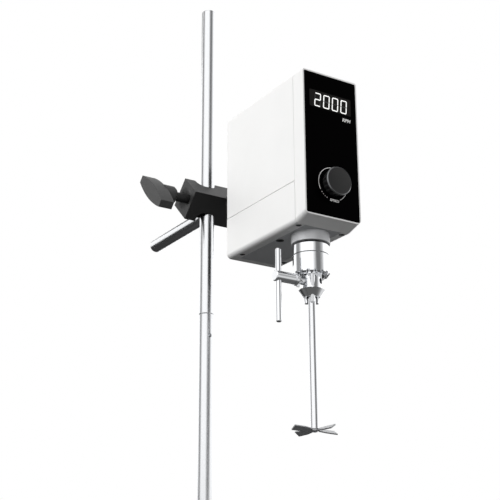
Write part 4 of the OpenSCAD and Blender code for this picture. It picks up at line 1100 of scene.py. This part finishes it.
def angle_glow(name, centre, stops, level, near=None):
    """A glow that follows the angle round a centre. Stops give degrees to the right of the camera's side and the
    brightness there, as a share of level; near is the brightness close to the centre."""
    material = bpy.data.materials.new(name)
    material.use_nodes = True
    material.node_tree.nodes.clear()
    coords = add_node(material, "ShaderNodeTexCoord").outputs["Object"]
    centred = add_node(material, "ShaderNodeMapping", {"Location": [-c for c in centre]}, {"Vector": coords})
    turned_round = add_node(material, "ShaderNodeMapping", {"Rotation": (0, 0, math.radians(90 + CAMERA_YAW))},
                            {"Vector": centred.outputs["Vector"]})
    angle = add_node(material, "ShaderNodeTexGradient", {"gradient_type": "RADIAL"},
                     {"Vector": turned_round.outputs["Vector"]})
    ramp = add_node(material, "ShaderNodeValToRGB", links={"Fac": angle.outputs["Fac"]})
    first, last = ramp.color_ramp.elements
    first.position, last.position = 0.0, 1.0
    first.color = last.color = [stops[0][1]] * 3 + [1]
    for degrees, value in stops:
        stop = ramp.color_ramp.elements.new(0.5 + degrees / 360)
        stop.color = (value, value, value, 1)
    spread = add_node(material, "ShaderNodeMapRange", {"To Max": level}, {"Value": ramp.outputs["Color"]})
    strength = spread.outputs["Result"]
    if near is not None:
        reach = add_node(material, "ShaderNodeVectorMath", {"operation": "LENGTH"},
                         {"Vector": centred.outputs["Vector"]})
        far = add_node(material, "ShaderNodeMapRange",
                       {"From Min": FADE_START, "From Max": FADE_END, "interpolation_type": "SMOOTHSTEP"},
                       {"Value": reach.outputs["Value"]})
        mix = add_node(material, "ShaderNodeMix", {"data_type": "FLOAT"}, {"Factor": far.outputs["Result"]})
        mix.inputs["A"].default_value = near
        material.node_tree.links.new(strength, mix.inputs["B"])
        strength = mix.outputs["Result"]
    glow = add_node(material, "ShaderNodeEmission", links={"Strength": strength})
    add_node(material, "ShaderNodeOutputMaterial", links={"Surface": glow.outputs["Emission"]})
    return material


def reflection_card(name, bm, material):
    """A glowing card that is only seen in reflections."""
    card = stage_piece(name, bm, material)
    card.visible_camera = False
    card.visible_diffuse = False
    card.visible_transmission = False
    card.visible_shadow = False


def curved_wall(low, high):
    """A round wall without ends, about the origin, between two heights."""
    bm = bmesh.new()
    bmesh.ops.create_cone(bm, cap_ends=False, segments=96, radius1=SCREEN_RADIUS, radius2=SCREEN_RADIUS,
                          depth=high - low)
    return place(bm, Matrix.Translation((0, 0, (low + high) / 2)))


def reflected_studio():
    """What the bright metal mirrors: a white curved screen with a dark strip to the right of the camera and a grey
    one to its left, a dark ground and a dark card high behind it."""
    foot = CAD_BOX[0][2] - LOW_CARD_DROP
    middle_line = Matrix.Translation((STAGE_X, STAGE_Y, 0))
    centre = Vector((STAGE_X, STAGE_Y, (SCREEN_TOP + HORIZON) / 2))
    reflection_card("curved_screen", place(curved_wall(HORIZON, SCREEN_TOP), middle_line),
                    angle_glow("curved_screen", centre, SCREEN_STOPS, SCREEN_LEVEL))
    ground = curved_wall(foot, HORIZON)
    floor = bmesh.new()
    bmesh.ops.create_circle(floor, cap_ends=True, radius=SCREEN_RADIUS, segments=96)
    join(ground, place(floor, Matrix.Translation((0, 0, foot))))
    reflection_card("low_card", place(ground, middle_line),
                    angle_glow("low_card", Vector((STAGE_X, STAGE_Y, foot)), GROUND_STOPS, SCREEN_LEVEL, FOOT_LEVEL))
    spot = around(*HIGH_CARD_PLACE)
    facing = (spot - Vector((STAGE_X, STAGE_Y, HIGH_CARD_AIM))).to_track_quat("Y", "Z").to_matrix().to_4x4()
    reflection_card("high_card", place(slab(*HIGH_CARD_SIZE), facing, Matrix.Translation(spot)),
                    angle_glow("high_card", spot, HIGH_STOPS, HIGH_LEVEL))


def pale_floor():
    """Large pale floor that keeps the object's shadow and throws little light back."""
    material = bpy.data.materials.new("pale_floor")
    material.use_nodes = True
    shader = material.node_tree.nodes["Principled BSDF"]
    shader.inputs["Roughness"].default_value = 0.9
    path = add_node(material, "ShaderNodeLightPath")
    mix = add_node(material, "ShaderNodeMix", {"data_type": "RGBA"}, {"Factor": path.outputs["Is Camera Ray"]})
    mix.inputs["A"].default_value = [FLOOR_BOUNCE] * 3 + [1]
    mix.inputs["B"].default_value = [FLOOR_SEEN] * 3 + [1]
    material.node_tree.links.new(mix.outputs["Result"], shader.inputs["Base Color"])
    bm = bmesh.new()
    bmesh.ops.create_grid(bm, x_segments=1, y_segments=1, size=FLOOR_HALF)
    stage_piece("floor", place(bm, Matrix.Translation((0, 0, CAD_BOX[0][2] - FLOOR_DROP))), material)


def white_surround():
    """World: white to the camera and in reflections, softer as light on the object."""
    world = bpy.data.worlds.new("surround")
    bpy.context.scene.world = world
    world.use_nodes = True
    background = world.node_tree.nodes["Background"]
    background.inputs["Color"].default_value = (1, 1, 1, 1)
    path = add_node(world, "ShaderNodeLightPath")
    seen = path.outputs["Is Camera Ray"]
    for ray in ("Is Glossy Ray", "Is Transmission Ray"):
        either = add_node(world, "ShaderNodeMath", {"operation": "MAXIMUM"})
        world.node_tree.links.new(seen, either.inputs[0])
        world.node_tree.links.new(path.outputs[ray], either.inputs[1])
        seen = either.outputs[0]
    level = add_node(world, "ShaderNodeMapRange", {"To Min": SURROUND_LIGHT, "To Max": 1.0}, {"Value": seen})
    world.node_tree.links.new(level.outputs["Result"], background.inputs["Strength"])


class STIRRER_OT_stage(bpy.types.Operator):
    """Camera at the photograph's angle, soft lamps, reflection cards, floor and white surround"""
    bl_idname = "stirrer.stage"
    bl_label = "Stage"

    def execute(self, context):
        camera = bpy.data.objects.new("camera", bpy.data.cameras.new("camera"))
        context.scene.collection.objects.link(camera)
        camera.data.lens = LENS
        camera.data.sensor_width = SENSOR
        camera.location = CAMERA_PLACE
        yaw, pitch = math.radians(CAMERA_YAW), math.radians(CAMERA_PITCH)
        look = Vector((math.sin(yaw) * math.cos(pitch), math.cos(yaw) * math.cos(pitch), math.sin(pitch)))
        aim(camera, camera.location + look)
        camera.rotation_euler.rotate_axis("Z", math.radians(CAMERA_ROLL))
        context.scene.camera = camera
        for lamp in LAMPS:
            softbox(*lamp)
        reflected_studio()
        pale_floor()
        white_surround()
        context.scene.view_settings.view_transform = "Standard"
        return {"FINISHED"}


# Sidebar and registration


# The operators, in the order in which main calls them
STEPS = ("stage", "stand", "clamp", "support_rod", "housing", "rear", "panel", "knob", "chuck", "key", "shaft",
         "inside")


class STIRRER_PT_sidebar(bpy.types.Panel):
    bl_idname = "STIRRER_PT_sidebar"
    bl_label = "Overhead stirrer"
    bl_space_type = "VIEW_3D"
    bl_region_type = "UI"
    bl_category = "Stirrer"

    def draw(self, context):
        for group in (context.scene.stirrer_sizes, context.scene.stirrer_colours):
            for name in group.__annotations__:
                self.layout.prop(group, name)
        for step in STEPS:
            self.layout.operator("stirrer." + step)


CLASSES = (StirrerSizes, StirrerColours, STIRRER_OT_stage, STIRRER_OT_stand, STIRRER_OT_clamp,
           STIRRER_OT_support_rod, STIRRER_OT_housing, STIRRER_OT_rear, STIRRER_OT_panel, STIRRER_OT_knob,
           STIRRER_OT_chuck, STIRRER_OT_key, STIRRER_OT_shaft, STIRRER_OT_inside, STIRRER_PT_sidebar)


def register():
    for cls in CLASSES:
        bpy.utils.register_class(cls)
    bpy.types.Scene.stirrer_sizes = bpy.props.PointerProperty(type=StirrerSizes)
    bpy.types.Scene.stirrer_colours = bpy.props.PointerProperty(type=StirrerColours)


def unregister():
    del bpy.types.Scene.stirrer_colours
    del bpy.types.Scene.stirrer_sizes
    for cls in reversed(CLASSES):
        bpy.utils.unregister_class(cls)


def main():
    register()
    for step in STEPS:
        getattr(bpy.ops.stirrer, step)()


if __name__ == "__main__":
    main()
